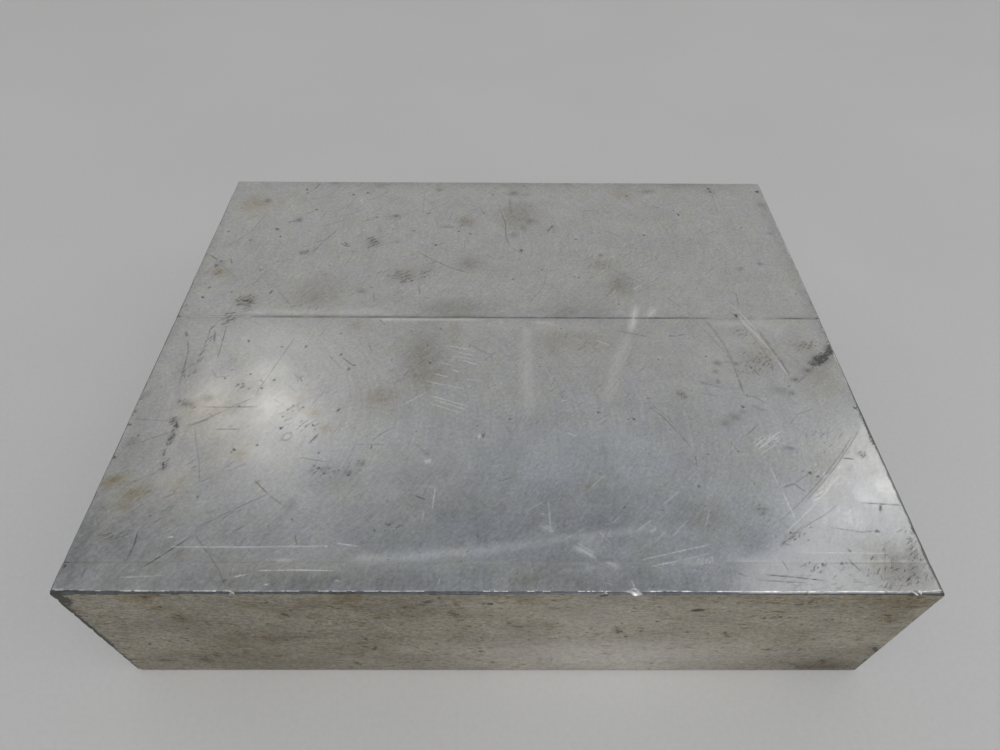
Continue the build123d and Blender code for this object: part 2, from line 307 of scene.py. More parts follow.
# Soft dark spots: place, half sizes in mm, and strength
SPOTS = [
    (-88.8, 172, 1.7, 1.6, 0.75), (7, 193.5, 3, 2.2, 0.61), (12, 192.6, 3, 1.2, 0.32),
    (14, 172, 2.6, 2.2, 0.49), (8, 175, 8, 9, 0.12), (11, 167, 1.8, 2.2, 0.38),
    (6.4, 161.6, 1.6, 2.4, 0.43), (43, 148, 1.3, 1.2, 0.58), (118.8, 163.5, 1.2, 1.2, 0.52),
    (109, 142.7, 1.4, 1.2, 0.52), (100, 139.5, 1.2, 1.2, 0.49), (-82, 149, 2.2, 1.3, 0.49),
    (-106, 186.5, 1.6, 1.6, 0.58), (-98.8, 119, 4.2, 3.2, 0.26), (-39, 134, 5, 3.6, 0.2),
    (-29, 137, 3, 4, 0.12), (-12, 142, 4.4, 3.4, 0.16), (-100, 69.5, 2.2, 1.6, 0.38),
    (-106.5, 67, 2.4, 1.6, 0.43), (-121.5, 71, 1.4, 1.6, 0.46), (79, 86.5, 1.9, 1.3, 0.66),
    (85.5, 86.3, 1.6, 1.2, 0.62), (82.4, 87, 2.2, 0.8, 0.42), (77.5, 82.4, 1.2, 1.2, 0.61),
    (77.3, 77.7, 1.1, 1.2, 0.67), (98.2, 73.6, 3.6, 2.3, 0.46), (101.8, 72.5, 1.4, 1.3, 0.58),
    (104.8, 78.7, 1.6, 1.2, 0.52), (110.8, 83.2, 1.8, 1.4, 0.58), (117.2, 89, 4, 2.8, 0.68),
    (122, 94, 3, 2.6, 0.49), (76, 59.4, 2.4, 1.8, 0.54), (79.6, 61.6, 2.6, 1.8, 0.56),
    (82.6, 64, 1.4, 1.4, 0.41), (94, 49, 2.6, 1, 0.32), (-43.6, 42.8, 1.6, 1.4, 0.38),
    (-47, 39.4, 1.4, 1.2, 0.43), (-63, 27.6, 2, 2.2, 0.29), (34.3, 47, 1.3, 1, 0.41),
    (91.5, 111.3, 1.3, 1.2, 0.49), (-24, 48, 2.2, 1.6, 0.14), (-113, 17.4, 5, 1.8, 0.2),
    (87, 17.8, 4.4, 2, 0.16), (113, 8, 9, 7, 0.16), (116.8, 46.8, 1.5, 1.3, 0.35),
    (79.6, 26.4, 2.2, 1.8, 0.29), (-107, 52.6, 1, 2.6, 0.58), (-108.6, 60, 1.8, 1.2, 0.58),
    (-105.4, 41, 1.2, 1.8, 0.49), (-46, 175.4, 1.8, 1.4, 0.43), (-37.4, 164.5, 1.2, 1, 0.29),
    (48, 129, 4.6, 6, 0.14), (64, 155, 3, 3, 0.14), (-54.4, 156.4, 3.2, 3.6, 0.38),
    (-15.3, 171.8, 2.8, 2.6, 0.29), (-22.8, 167.3, 3.4, 1, 0.38), (9.6, 151, 1.3, 1.1, 0.38),
    (-44, 156.5, 2, 1, 0.38), (-55.6, 199.6, 2.6, 2.2, 0.35), (69, 195.2, 3.2, 1.8, 0.38),
    (120.6, 185, 2.4, 2.4, 0.43), (88, 201.8, 14, 1.4, 0.24), (-78, 201.8, 3, 1.2, 0.38),
    (32, 201.6, 3, 1.2, 0.32), (-119, 51.4, 2, 1.6, 0.38), (-110.8, 82, 3.8, 3.4, 0.2),
    (93, 87, 6, 6, 0.12), (63.6, 71, 2, 1.8, 0.35), (-55, 125, 1.8, 1.6, 0.29),
    (22.8, 166.8, 2.2, 3, 0.23), (99.4, 196, 2.6, 2.8, 0.29), (5.2, 180, 1.2, 6, 0.14),
    (-115.4, 141.8, 2.6, 2.4, 0.32),
]

# Smudges of dirt: a row of places, half width in mm, and strength. The finish breaks them up into specks.
SMUDGES = [
    ((113.5, 86, 117, 88.5, 120, 91, 123, 94), 2.4, 0.72), ((-99, 119, -98.4, 119.4), 3.6, 0.34),
    ((-106, 111, -100, 110, -104, 106.5), 2.2, 0.3),
    ((-109, 60, -107, 57, -106.5, 54, -107, 51), 1.3, 0.5), ((-107, 51, -107.3, 46, -106, 40), 1.3, 0.34),
    ((-109, 68, -104, 65), 2, 0.4), ((-117, 17, -112, 17, -108, 18), 1.8, 0.32),
    ((-42, 133, -38, 135, -34, 131), 3, 0.24), ((-56, 158.5, -54, 157, -52.5, 155), 2.6, 0.3),
    ((-83.8, 148, -81, 150), 1.4, 0.34), ((-14, 158, -6, 164, 2, 160), 3, 0.16),
    ((-31, 21, -30, 20), 3.4, 0.3), ((63, 72, 64.5, 71), 2, 0.4), ((108, 3, 113, 4, 120, 6), 4.5, 0.32),
    ((119, 10, 122, 20), 2.6, 0.36), ((82.6, 14.9, 88.6, 19.6, 91.6, 21.2), 2, 0.3),
    ((86, 8, 93, 7.6), 2, 0.32), ((98, 8, 106, 6), 3, 0.26), ((66, 21, 74, 18, 80, 16), 3, 0.16),
    ((-31, 91, -24, 84), 5, 0.18), ((-60, 40.5, -52, 41), 2.4, 0.2), ((-2, 64, 12, 60), 3.4, 0.22),
    ((90, 104, 94, 97), 3, 0.24), ((-34, 122, -28, 130, -25, 138), 2.6, 0.2),
    ((41, 143, 46, 141), 3.6, 0.18), ((-72, 62, -63, 58), 5, 0.18), ((66, 195.4, 72, 196), 2, 0.28),
    ((-117, 182, -108, 188), 5, 0.16), ((109, 95, 117, 96), 3.2, 0.34), ((122.4, 50, 122.8, 66), 0.9, 0.6),
    ((122.6, 96, 122.9, 120), 0.8, 0.4), ((-123, 62, -123, 70), 1, 0.5), ((88, 82, 99, 92), 5, 0.24),
    ((-16, 171, -14, 171), 4, 0.24), ((-16, 142, -8, 142), 4, 0.2), ((4, 165, 12, 182), 6, 0.18),
]

# Rings left by small round things: centre, radius in mm, and strength
RINGS = [(-69.4, 53.2, 1.5, 0.46), (97.8, 179.8, 1.9, 0.26)]

# Brown and olive stains: place, half sizes in mm, and strength
STAINS = [
    (-119.5, 36, 4.6, 2.4, 0.95), (-111, 32, 4.6, 2.6, 0.9), (-113, 28, 2.6, 2.2, 0.65),
    (-62.6, 63, 2.4, 2, 0.95), (-57.6, 56.6, 1.8, 1.6, 0.85), (-83, 46.2, 2.4, 1.6, 0.85),
    (-92, 45.5, 1.4, 1.6, 0.7), (-69, 70.5, 3, 2.6, 0.5), (-41, 70, 7, 5, 0.54), (-28, 90, 5, 11, 0.5),
    (-17, 102, 3, 6, 0.36), (-27, 80, 8, 5, 0.4), (20.5, 98.5, 5, 6, 0.33), (32, 98, 8, 6, 0.33),
    (-54.3, 105, 2.2, 2.2, 0.6), (-114, 136, 3.6, 3, 0.75), (-111, 184, 8, 6, 0.55),
    (58, 194, 5, 4.6, 0.43), (-27.5, 196.5, 2.4, 2.2, 0.5), (113, 95, 4.6, 3.6, 0.4),
    (62.5, 24, 7, 6, 0.26), (113, 8, 10, 9, 0.54), (8, 175, 8, 9, 0.36), (-99, 119, 5, 4, 0.4),
    (97, 90, 8, 7, 0.29), (-98, 67, 10, 9, 0.45), (-92, 54, 5, 8, 0.25), (-12, 12, 3, 3, 0.45),
    (-60, 5, 30, 5, 0.29), (10, 5, 12, 4, 0.32), (-73, 122, 12, 10, 0.3), (48.5, 128.5, 5, 7, 0.4),
    (43, 142, 6, 4, 0.29), (-37, 136, 7, 5, 0.29), (-13, 142, 5, 4, 0.32), (-14, 171, 4, 4, 0.4),
    (114, 80, 9, 11, 0.29), (102, 34, 5, 5, 0.32), (106, 43, 5, 5, 0.25), (92, 15.4, 5, 3, 0.36),
    (-100, 35, 4, 5, 0.5), (-91, 11.6, 2.6, 2, 0.55), (-27, 30, 5, 4, 0.25), (28, 35, 2.4, 1.8, 0.5),
    (0, 200, 14, 5, 0.18), (-40, 34, 16, 8, 0.12), (22, 98, 4, 4, 0.3), (-17, 114, 11, 5, 0.22),
]

# Burnished places, which look paler, and painted reflections of bright strips and glints, as near x 10, 50,
# 60 and 100: a row of places, half width in mm, and strength
BURNISH_AND_REFLECTIONS = [
    ((-44, 10.2, -26, 11, -15, 11.9, 0, 13.8, 12, 15.2), 1.6, 0.54), ((-31, 10.4, -23, 11.2), 0.9, 0.4),
    ((8, 14.4, 20, 17.2, 30, 18, 46, 20.2), 1.3, 0.34), ((-98, 112.6, -76, 112.8, -42, 112.4), 1.8, 0.2),
    ((-50, 108.7, -22, 108.7, -3, 108.7), 0.7, 0.46), ((-41, 108.6, -21, 108.6), 0.8, 0.38),
    ((-15, 105.5, 12, 105.5, 40, 105), 3.2, 0.12), ((-0.4, 107.4, 2, 107.6), 1.2, 0.4),
    ((12, 107, 17, 107.2, 22, 107), 1, 0.4), ((10, 60, 10, 84, 10.5, 108), 2.2, 0.26),
    ((49, 101, 51.4, 108, 54, 118), 1.5, 0.6), ((57, 110, 61, 116), 1.5, 0.44),
    ((49, 102, 44, 90, 40, 78, 37, 66), 2.4, 0.26), ((60.5, 115, 61, 117), 2, 0.2),
    ((80, 107, 99, 106.6), 2, 0.22), ((96, 110, 103, 106, 109, 101), 4.2, 0.26),
    ((104.6, 105, 106.4, 103), 2, 0.28), ((92, 112, 96, 103, 100, 93), 0.9, 0.3),
    ((12.4, 20.8, 16.6, 18.8), 1.3, 0.5), ((21.6, 14.6, 28, 10.5), 1, 0.7),
    ((22, 16.6, 31, 15), 1.8, 0.26), ((44, 18.6, 46.6, 20.2), 0.9, 0.4), ((50, 9.5, 60, 9.8), 1, 0.22),
    ((-63.6, 187.5, -62.4, 187.5), 0.9, 0.6), ((83, 49.2, 94, 56.2), 1.8, 0.16),
    ((74, 80, 77, 92), 2.4, 0.16), ((-64.2, 9.9, -58.6, 9.8), 0.6, 0.45),
    ((-24, 43.4, -21.4, 44.2), 0.9, 0.5), ((30, 9.5, 34.4, 7.8), 0.9, 0.34),
    ((55, 10.2, 62.6, 9.8), 1, 0.26), ((97, 29.6, 101, 33.4), 1.2, 0.3), ((36, 50, 44, 30), 4, 0.08),
    ((-6.8, 52.6, -6.1, 54.6), 0.6, 0.6),
]

# Broad dull places, a little darker than the rest, and painted shade: those along the front edge stand in
# for
# the darker reflection there: centre, half sizes in mm, and strength
DULL_AND_SHADE = [
    (-108, 12, 26, 20, 0.66), (-74, 16, 30, 15, 0.54), (-38, 18, 26, 15, 0.54), (-6, 20, 24, 15, 0.52),
    (28, 22, 22, 12, 0.4), (58, 20, 16, 14, 0.28), (-60, 3, 66, 5, 0.72), (30, 3, 42, 5, 0.5),
    (74, 16, 10, 7, 0.34), (-119, 40, 8, 34, 0.44), (-88, 36, 9, 10, 0.3), (-95, 48, 7, 9, 0.16),
    (-16, 115, 13, 5, 0.42), (30, 113, 16, 4, 0.32), (-73, 122, 14, 11, 0.24), (-27, 92, 9, 15, 0.3),
    (-112, 84, 7, 14, 0.26), (-30, 202, 96, 4, 0.34), (80, 202, 44, 5, 0.38), (122, 130, 3, 70, 0.3),
    (-123, 130, 3, 70, 0.34), (114, 80, 10, 12, 0.26), (116, 9, 9, 9, 0.36), (-30, 36, 14, 8, 0.3),
    (8, 176, 9, 9, 0.16), (20, 30, 30, 6, 0.34), (70, 50, 10, 24, 0.08), (-103, 134, 20, 26, 0.1),
    (49, 128, 6, 8, 0.22), (-121, 12, 7, 22, 0.95), (-52, 36, 12, 8, 0.46), (-30, 29, 14, 7, 0.3),
    (20, 10, 38, 3, 0.4), (-6, 6, 13, 4, 0.6),
]

# Painted reflections: places where the metal looks bluer from the sky, and warmer from the lamp patch on
# the
# left and, in places, from stains: centre, half sizes in mm, and strength
COOL_REFLECTION = [
    (30, 44, 60, 22, 1), (70, 22, 60, 24, 1), (0, 14, 50, 16, 0.8), (90, 66, 34, 16, 0.5),
    (112, 24, 14, 16, 0.9),
]
WARM_STAIN_AND_REFLECTION = [
    (-99, 62, 12, 12, 1), (-84, 48, 8, 8, 0.6), (-112, 30, 12, 14, 0.7), (-69, 68, 5, 5, 0.5),
    (-110, 186, 14, 14, 0.4),
]

# The corner beyond a wide arc, at the right of the front edge, has a brighter finish with a painted
# highlight where the right lamp reflects, but for one grimy place, given by its centre and half sizes
BRIGHT_CORNER_CENTRE = (-42, 185)
BRIGHT_CORNER_RADIUS = 206
GRIMY_PLACE = (114, 6, 11, 9)

# Dirt along the line behind the front strip, and a painted highlight along the line beside it on the right:
# distance from the front edge and half width in mm
FRONT_LINE_DIRT = (9.1, 0.45)
FRONT_LINE_GLINT = (9.8, 0.6)

# Worn places with soft bounds, and painted highlights where lamps reflect on the left patch and the right
# front corner: centre, half widths in mm, and strength
WORN_AND_HIGHLIGHTS = [
    (-77, 66.5, 11, 13, 0.78), (-82, 81, 9, 9, 0.62), (-98, 71, 8.5, 10, 0.58), (-91, 58, 7, 8, 0.44),
    (-67.5, 60, 7.5, 9, 0.58), (-76, 48, 12, 7, 0.28), (-103, 84, 5, 7, 0.24), (-83, 96, 16, 9, 0.3),
    (-64, 90, 10, 10, 0.14), (-101, 35, 4.5, 5, 0.26), (119, 46, 7, 11, 0.56), (111, 49, 7, 7, 0.18),
    (104, 24, 14, 8, 0.64), (92, 20, 7, 6, 0.2), (114, 31, 8, 7, 0.78), (120, 34, 6, 7, 1),
    (92, 14, 8, 6, 0.6), (102, 106, 9, 8, 0.14), (92, 98, 14, 6, 0.14), (96, 90, 34, 30, 0.05),
    (60, 88, 14, 18, 0.06), (74, 88, 9, 9, 0.14), (82, 80, 6, 6, 0.12), (24, 52, 26, 7, 0.08),
    (84, 3, 12, 5, 0.2), (108, 36, 6, 5, 0.5),
]

# Marks on the front side. Places are in millimetres: from the middle of the bar, and above its underside.
# Place and radius of each pit
FRONT_PITS = [
    (-47.6, 7.4, 1.2), (-46.6, 6, 0.9), (108.8, 10.3, 1.3), (109.6, 8.4, 0.9), (-97.6, 61, 1),
    (-96.5, 54, 0.9), (-88.8, 60, 0.6), (-94, 38, 0.7), (-97.5, 28.2, 0.6), (-120.5, 47, 0.8),
    (-119.5, 31.5, 0.6), (-65.2, 57.3, 0.6), (-59.7, 51.8, 0.9), (-57, 52, 0.5), (-48.5, 42.2, 0.5),
    (-45.8, 43, 0.5), (-44.2, 43, 0.5), (-41.2, 44.8, 0.7), (-39.5, 45.3, 0.6), (-57.7, 35.8, 0.7),
    (-60.8, 34.2, 0.5), (-41.5, 29.3, 0.8), (-43.5, 59.8, 0.6), (-32.5, 48.2, 0.8), (-29.3, 40.8, 0.6),
    (-16.8, 60.7, 0.7), (-15.3, 55.2, 0.7), (-2.5, 56.5, 0.8), (-10.7, 38.3, 0.5), (-8.6, 39.8, 0.5),
    (-1.7, 29.8, 0.5), (-12, 44.3, 0.5), (7.5, 59.3, 0.6), (6, 56.8, 0.7), (16.2, 39.2, 0.6),
    (17.5, 42.2, 0.5), (17.6, 30.2, 0.7), (9.5, 28.8, 0.6), (28, 38.3, 0.7), (27, 35, 0.5),
    (37.3, 35.5, 1), (36.8, 42.3, 0.5), (39.5, 31.8, 0.6), (43.5, 36, 0.8), (57.7, 35.3, 0.8),
    (47.2, 43.6, 0.7), (64.5, 34.3, 0.5), (82.8, 47.3, 0.7), (85.5, 46.8, 0.5), (97, 44.8, 0.7),
    (98.7, 45.5, 0.6), (102, 43, 0.7), (110, 38.2, 0.6), (107.3, 36.5, 0.5), (91, 41, 0.5),
    (97.5, 19.8, 0.6), (77.8, 17, 0.5), (-2, 8.2, 0.8), (38.8, 53.5, 0.5), (-21.3, 30.5, 0.5),
    (-19.6, 25.5, 0.6), (-31, 24.5, 0.5), (89, 14, 0.6), (-53.5, 32.5, 0.5),
]

# A row of places, half width and strength of each smudge
FRONT_SMUDGES = [
    ((-122.5, 62.5, -120.6, 59, -123, 56), 2.4, 0.95),
    ((-123.4, 56, -123.2, 44, -123.4, 34, -123.3, 24), 1.7, 0.85), ((-123.5, 24, -123.5, 8), 1.1, 0.6),
    ((-112, 10, -108, 10.5), 1.8, 0.5), ((-97, 13.5, -98, 10, -96, 9), 1.9, 0.5),
    ((-110.8, 24.4, -110.2, 25.8), 0.8, 0.8), ((-79, 29.8, -79.2, 34), 1.6, 0.6),
    ((-81.5, 19.5, -82.5, 17.5), 1.3, 0.6), ((-87.5, 17, -86.5, 14), 1.5, 0.42),
    ((-93.5, 47, -93.5, 44), 2.3, 0.55), ((-87.2, 44.5, -86.6, 40.8), 1, 0.55),
    ((-100, 52.4, -98, 52.8), 1.2, 0.55), ((-76, 30.6, -50, 31), 1.2, 0.42),
    ((-62.5, 49.2, -61.6, 47.6), 1.1, 0.7), ((-55.6, 46.6, -54.4, 42), 1.2, 0.5),
    ((-39, 23.2, -40.2, 20.2), 0.9, 0.75), ((-27, 54, -23, 56, -18.5, 58.8), 1.3, 0.6),
    ((-13.6, 50.4, -12, 47.4), 1.6, 0.62), ((-12.5, 57.2, -11, 54), 1.3, 0.5),
    ((-4.4, 56.8, -2, 56.4), 1, 0.7), ((-3.4, 43.6, -3.2, 40.8), 1.3, 0.5), ((-5, 33, -5, 29), 0.9, 0.42),
    ((3, 42.9, 3.2, 41.6), 1.3, 0.5), ((5, 39.7, 7, 39.5), 1.2, 0.55), ((35.4, 40, 37.2, 34.6), 1.3, 0.45),
    ((56, 52, 58.6, 52.4), 1, 0.95), ((69.4, 35.4, 71.4, 31.6), 1, 0.66),
    ((84.5, 56.3, 87, 57, 88.3, 59), 0.9, 0.62), ((78, 46.6, 87, 46.9), 1.1, 0.45),
    ((113.4, 49, 117, 43), 1.1, 0.55), ((72, 21.8, 80, 20.4, 90, 20), 1.3, 0.42),
    ((121, 22.4, 123.2, 19), 0.9, 0.8), ((122.8, 11.4, 123, 9), 0.9, 0.8), ((100, 7, 104, 2.6), 2.2, 0.44),
    ((105, 4.4, 114, 3.4, 120, 3.4), 3.4, 0.34), ((94.6, 10, 97, 8.6), 1.2, 0.5),
    ((17.4, 7, 17, 11.4), 1.4, 0.3), ((52, 10, 51.8, 7), 0.9, 0.35), ((-31, 8, -26, 7), 1.6, 0.25),
    ((28, 62, 29.6, 62.4), 0.8, 0.9),
]

# Place, radius and strength of each brown stain
FRONT_STAINS = [
    (-100.5, 59.5, 4, 1), (-96.8, 53.5, 3.2, 0.85), (-93.5, 45.8, 3.6, 0.8), (-71, 55, 3, 0.7),
    (-84, 26.5, 5, 0.75), (-88, 21.5, 3, 0.7), (-92.5, 16.2, 2.6, 0.7), (-104, 16.5, 3, 0.45),
    (-53, 57, 4, 0.55), (-42.5, 60.5, 4.6, 0.9), (-62.3, 48.5, 2, 0.8), (-35, 47, 2.6, 0.6),
    (-26, 54, 3, 0.55), (-12.8, 48.8, 3.4, 0.65), (-3.5, 49.8, 2, 0.55), (7.5, 57.8, 4, 0.75),
    (15, 40.6, 3.4, 0.7), (7.5, 38, 2.6, 0.35), (27.8, 30.5, 2, 0.45), (37, 37, 2.6, 0.55),
    (41.5, 41.3, 2.2, 0.6), (57.3, 52.2, 2.4, 0.6), (71, 32.6, 2.6, 0.45), (81, 60.6, 6, 0.4),
    (101, 60.4, 4.6, 0.55), (113, 60.4, 7, 0.85), (114, 52, 5, 0.55), (115, 45.6, 3.2, 0.7),
    (105, 51.5, 2, 0.6), (110, 5, 7, 0.55), (-70, 30, 4, 0.4), (-25, 45, 9, 0.25), (-80, 8, 14, 0.22),
    (-46, 24, 6, 0.3),
]

# Soft dark spots on the front side: place, half sizes in mm, and strength
FRONT_SPOTS = [
    (-122.8, 60, 1.8, 3.2, 0.75), (-121.8, 50, 3, 14, 0.3), (-122.6, 30, 1.6, 26, 0.22),
    (-47, 6.8, 1.7, 1.5, 0.45), (-2, 8.2, 1.6, 1.4, 0.28), (108.9, 9.5, 1.7, 2.4, 0.4),
    (111, 4, 10, 4.4, 0.36), (-112, 9.6, 4, 2.2, 0.24), (-97, 11, 2.4, 3.4, 0.24), (-34, 50, 8, 6, 0.1),
    (-20, 56, 6, 4, 0.1), (57.2, 52.4, 1.8, 1, 0.42), (-97.8, 61, 1.6, 1.5, 0.45),
    (-93.4, 46, 2, 3.2, 0.22), (116, 46, 4, 6, 0.18), (119, 60, 6, 4, 0.2), (-78, 6, 20, 5, 0.1),
    (122.6, 20, 1.4, 3, 0.4), (-42.6, 61, 3, 2.4, 0.22), (7.4, 58, 3.4, 2.2, 0.2),
    (14.6, 41, 2.4, 2.4, 0.26), (3.6, 40.8, 2.6, 2, 0.24), (36.4, 37, 1.6, 3.4, 0.3), (-60, 52, 4, 2, 0.1),
]

# Where the front side is darker overall, with painted shade along its underside, and where it is paler:
# centre, half widths in mm, and strength
FRONT_DULL_AND_SHADE = [
    (-78, 28, 58, 45, 0.36), (-60, 3, 75, 9, 0.26), (112, 8, 20, 16, 0.4), (-35, 12, 22, 16, 0.2),
]
FRONT_PALE = [(36, 14, 46, 18, 0.5), (30, 44, 34, 20, 0.2), (78, 32, 22, 20, 0.08)]

# How much painted glint, laid down as bare metal, lies along the rim of the upper front edge: distance from
# the middle, and share
RIM_GLINTS = ((-124, 0.55), (-62, 0.5), (-54, 0.12), (24, 0.12), (34, 0.8), (124, 0.9))


def smooth(t):
    """Goes from 0 to 1 with no kink as t does."""
    t = np.clip(t, 0.0, 1.0)
    return t * t * (3 - 2 * t)


def fade(distance, core, blur):
    """1 up to the core distance, falling smoothly to 0 over the blur beyond it."""
    return 1 - smooth((distance - core) / blur)


# Knots of a line of wave_noise, and the one at its zero
KNOTS = 4096
ZERO_KNOT = 1024


def wave_noise(t, scale, seed):
    """Smooth random values from -1 to 1 along a line, with a random knot at each step of the scale."""
    knots = np.random.default_rng(seed).uniform(-1, 1, KNOTS)
    s = np.asarray(t) / scale + ZERO_KNOT
    i = np.floor(s).astype(int)
    k = smooth(s - i)
    return knots[i % KNOTS] * (1 - k) + knots[(i + 1) % KNOTS] * k


def rough_noise(t, scale, seed, octaves=3):
    """Several sizes of wave_noise, added up."""
    total, weight = 0.0, 0.0
    for o in range(octaves):
        total = total + wave_noise(t, scale / 2**o, seed + o) / 2**o
        weight += 1 / 2**o
    return total / weight


def arc_points(centre, radius, first, last):
    """Points along an arc, a few degrees apart."""
    turns = np.radians(np.linspace(first, last, 2 + int(abs(last - first) / ARC_STEP)))
    return [(centre[0] + radius * math.cos(t), centre[1] + radius * math.sin(t)) for t in turns]


def pairs(row):
    """The places of a row of numbers, x and y by turns."""
    return list(zip(row[::2], row[1::2]))


def group_strokes():
    """The short strokes of every group, each as its points and kind. Those of a wide group are longer."""
    random = np.random.default_rng(STROKE_SEED)
    strokes = []
    for middle_x, middle_y, half_x, half_y, direction, count, kind in STROKE_GROUPS:
        for _ in range(count):
            share, around = math.sqrt(random.uniform()), random.uniform(0, 2 * math.pi)
            x = middle_x + half_x * share * math.cos(around)
            y = middle_y + half_y * share * math.sin(around)
            turn = math.radians(direction + random.normal() * STROKE_SCATTER)
            longest = STROKE_LENGTH + STROKE_GROWTH * max(half_x, half_y)
            reach = random.uniform(*STROKE_SHARES) * longest
            dx, dy = reach * math.cos(turn), reach * math.sin(turn)
            strokes.append(([(x - dx, y - dy), (x + dx, y + dy)], kind))
    return strokes


def all_scratches():
    """Every scratch on the milled face, as its points, width, depth, dirt and bare metal."""
    lines = [(pairs(row), kind) for kind, group in SCRATCHES.items() for row in group]
    lines += [(arc_points(*arc), kind) for *arc, kind in ARCS]
    lines += group_strokes()
    return [(points, *SCRATCH_KINDS[kind]) for points, kind in lines]


SCRATCH_LINES = all_scratches()


def segment_distance(x, y, points):
    """Distance from each place to a line through the points, how far along it the nearest point lies, and
    the length of the line."""
    best = np.full(np.shape(x), np.inf)
    along = np.zeros(np.shape(x))
    passed = 0.0
    for (x0, y0), (x1, y1) in zip(points, points[1:]):
        dx, dy = x1 - x0, y1 - y0
        run = math.hypot(dx, dy)
        t = np.clip(((x - x0) * dx + (y - y0) * dy) / run**2, 0, 1)
        distance = np.hypot(x - x0 - t * dx, y - y0 - t * dy)
        along = np.where(distance < best, passed + t * run, along)
        best = np.minimum(best, distance)
        passed += run
    return best, along, passed


def within(x, y, points, reach):
    """Which places lie in the box around a line, widened by the reach."""
    px, py = zip(*points)
    return (x > min(px) - reach) & (x < max(px) + reach) & (y > min(py) - reach) & (y < max(py) + reach)


def line_distance(x, y, points, reach):
    """Distance to a line through the points where it is below the reach, and the reach everywhere else."""
    close = within(x, y, points, reach)
    distance = np.full(len(x), float(reach))
    distance[close] = np.minimum(segment_distance(x[close], y[close], points)[0], reach)
    return distance


def line_fall(x, y, points, reach, core):
    """1 within the core distance of a line, falling smoothly to 0 at the reach."""
    return fade(line_distance(x, y, points, reach), core, reach - core)


def taper(along, run, blunt, share, longest):
    """1 along the middle of a line, falling towards both of its ends: the blunter it is, the less."""
    return smooth(blunt + np.minimum(along, run - along) / min(share * run, longest))


def scratch_fall(x, y, points, reach, core, seed):
    """As line_fall, but uneven along the line and tapering towards both of its ends."""
    close = within(x, y, points, reach)
    fall = np.zeros(len(x))
    distance, along, run = segment_distance(x[close], y[close], points)
    uneven = 0.78 + 0.34 * rough_noise(along, 1.6, seed, 2)
    fall[close] = fade(distance, core, reach - core) * taper(along, run, 0.25, 0.3, 4.0) * uneven
    return fall


def streak_fall(x, y, points, width):
    """A soft streak along a line, which fades towards both of its ends."""
    close = within(x, y, points, 2.6 * width)
    fall = np.zeros(len(x))
    distance, along, run = segment_distance(x[close], y[close], points)
    fall[close] = np.exp(-((distance / width) ** 2)) * taper(along, run, 0.12, 0.35, 7.0)
    return fall


def pit_fall(x, y, pit, number, reach=1.0, core=0.0):
    """1 in the core of a pit, falling to 0 at the reach, both as shares of its radius. Each pit is drawn
    out in a direction of its own."""
    px, py, radius = pit
    turn = GOLDEN_TURN * number
    stretch = 1.0 + 0.7 * ((number * 0.618) % 1.0)
    dx, dy = x - px, y - py
    across = dx * math.cos(turn) + dy * math.sin(turn)
    along = (dy * math.cos(turn) - dx * math.sin(turn)) / stretch
    lobes = 1 + 0.22 * np.sin(3 * np.arctan2(along, across) + 5 * turn)
    return fade(np.hypot(across, along) / (radius * lobes), core, reach - core)


def oval_fall(x, y, centre_x, centre_y, half_x, half_y):
    """A soft oval hill, 1 at its centre."""
    return np.exp(-(((x - centre_x) / half_x) ** 2) - ((y - centre_y) / half_y) ** 2)


# Lattice of the mesh: whole numbers of steps along each side of the bar, in root cells of eight steps.
# COARSEST asks for nothing finer than the root cells.
ROOT = 8
STEPS = np.array([128 * ROOT, 105 * ROOT, 33 * ROOT])
STEP = SIZE / STEPS
COARSEST = 64
# Each face: its name, its two running axes, its fixed axis and which end of it, and its root cell in steps
FACES = (
    ("top", 0, 1, 2, 1, ROOT, ROOT),
    ("bottom", 0, 1, 2, 0, 8 * ROOT, 7 * ROOT),
    ("front", 0, 2, 1, 0, ROOT, ROOT),
    ("back", 0, 2, 1, 1, ROOT, ROOT),
    ("left", 1, 2, 0, 0, 3 * ROOT, ROOT),
    ("right", 1, 2, 0, 1, 3 * ROOT, ROOT),
)
# Whether a cell's corners face outwards as they come (1) or in the other order (-1)
OUTWARD_ORDER = {"top": 1, "bottom": -1, "front": 1, "back": -1, "left": -1, "right": 1}
# How far from an edge the cells are fine, and from a knocked corner. Lattice corners within NEAR of a face
# of the box are on it.
EDGE_REACH = 1.5 * MM
KNOCK_REACH = 3.0 * MM
NEAR = 1e-7


def edge_steps(centre, half, need):
    """Asks for fine cells near the edges of the bar, its nicks and its knocked corners."""
    gap_low = np.maximum(np.abs(centre - LOW) - half, 0)
    gap_high = np.maximum(np.abs(centre - HIGH) - half, 0)
    gaps = {0: gap_low, 1: gap_high}
    for along in range(3):
        a, b = [k for k in range(3) if k != along]
        for end_a in (0, 1):
            for end_b in (0, 1):
                near = np.hypot(gaps[end_a][:, a], gaps[end_b][:, b]) < EDGE_REACH
                upper_front = along == 0 and end_a == 0 and end_b == 1
                front_left = along == 2 and end_a == 0 and end_b == 0
                along_step = 2 if upper_front or front_left else 4
                need[near, along] = np.minimum(need[near, along], along_step)
                across = 1 if (b == 2 and end_b == 1) or front_left else 2
                need[near, a] = np.minimum(need[near, a], across)
                need[near, b] = np.minimum(need[near, b], across)
    spots = [((d * MM, LOW[1], HIGH[2]), w * MM) for d, w, _ in FRONT_EDGE_NICKS]
    spots += [((LOW[0], LOW[1], h * MM), w * MM) for h, w, _ in LEFT_EDGE_NICKS]
    spots += [
        (((LOW, HIGH)[side > 0][0], LOW[1], (LOW, HIGH)[up > 0][2]), KNOCK_REACH)
        for side, up, _ in CORNER_KNOCKS
    ]
    for place, width in spots:
        gap = np.linalg.norm(np.maximum(np.abs(centre - place) - half, 0), axis=1)
        need[gap < width * 0.75] = 1


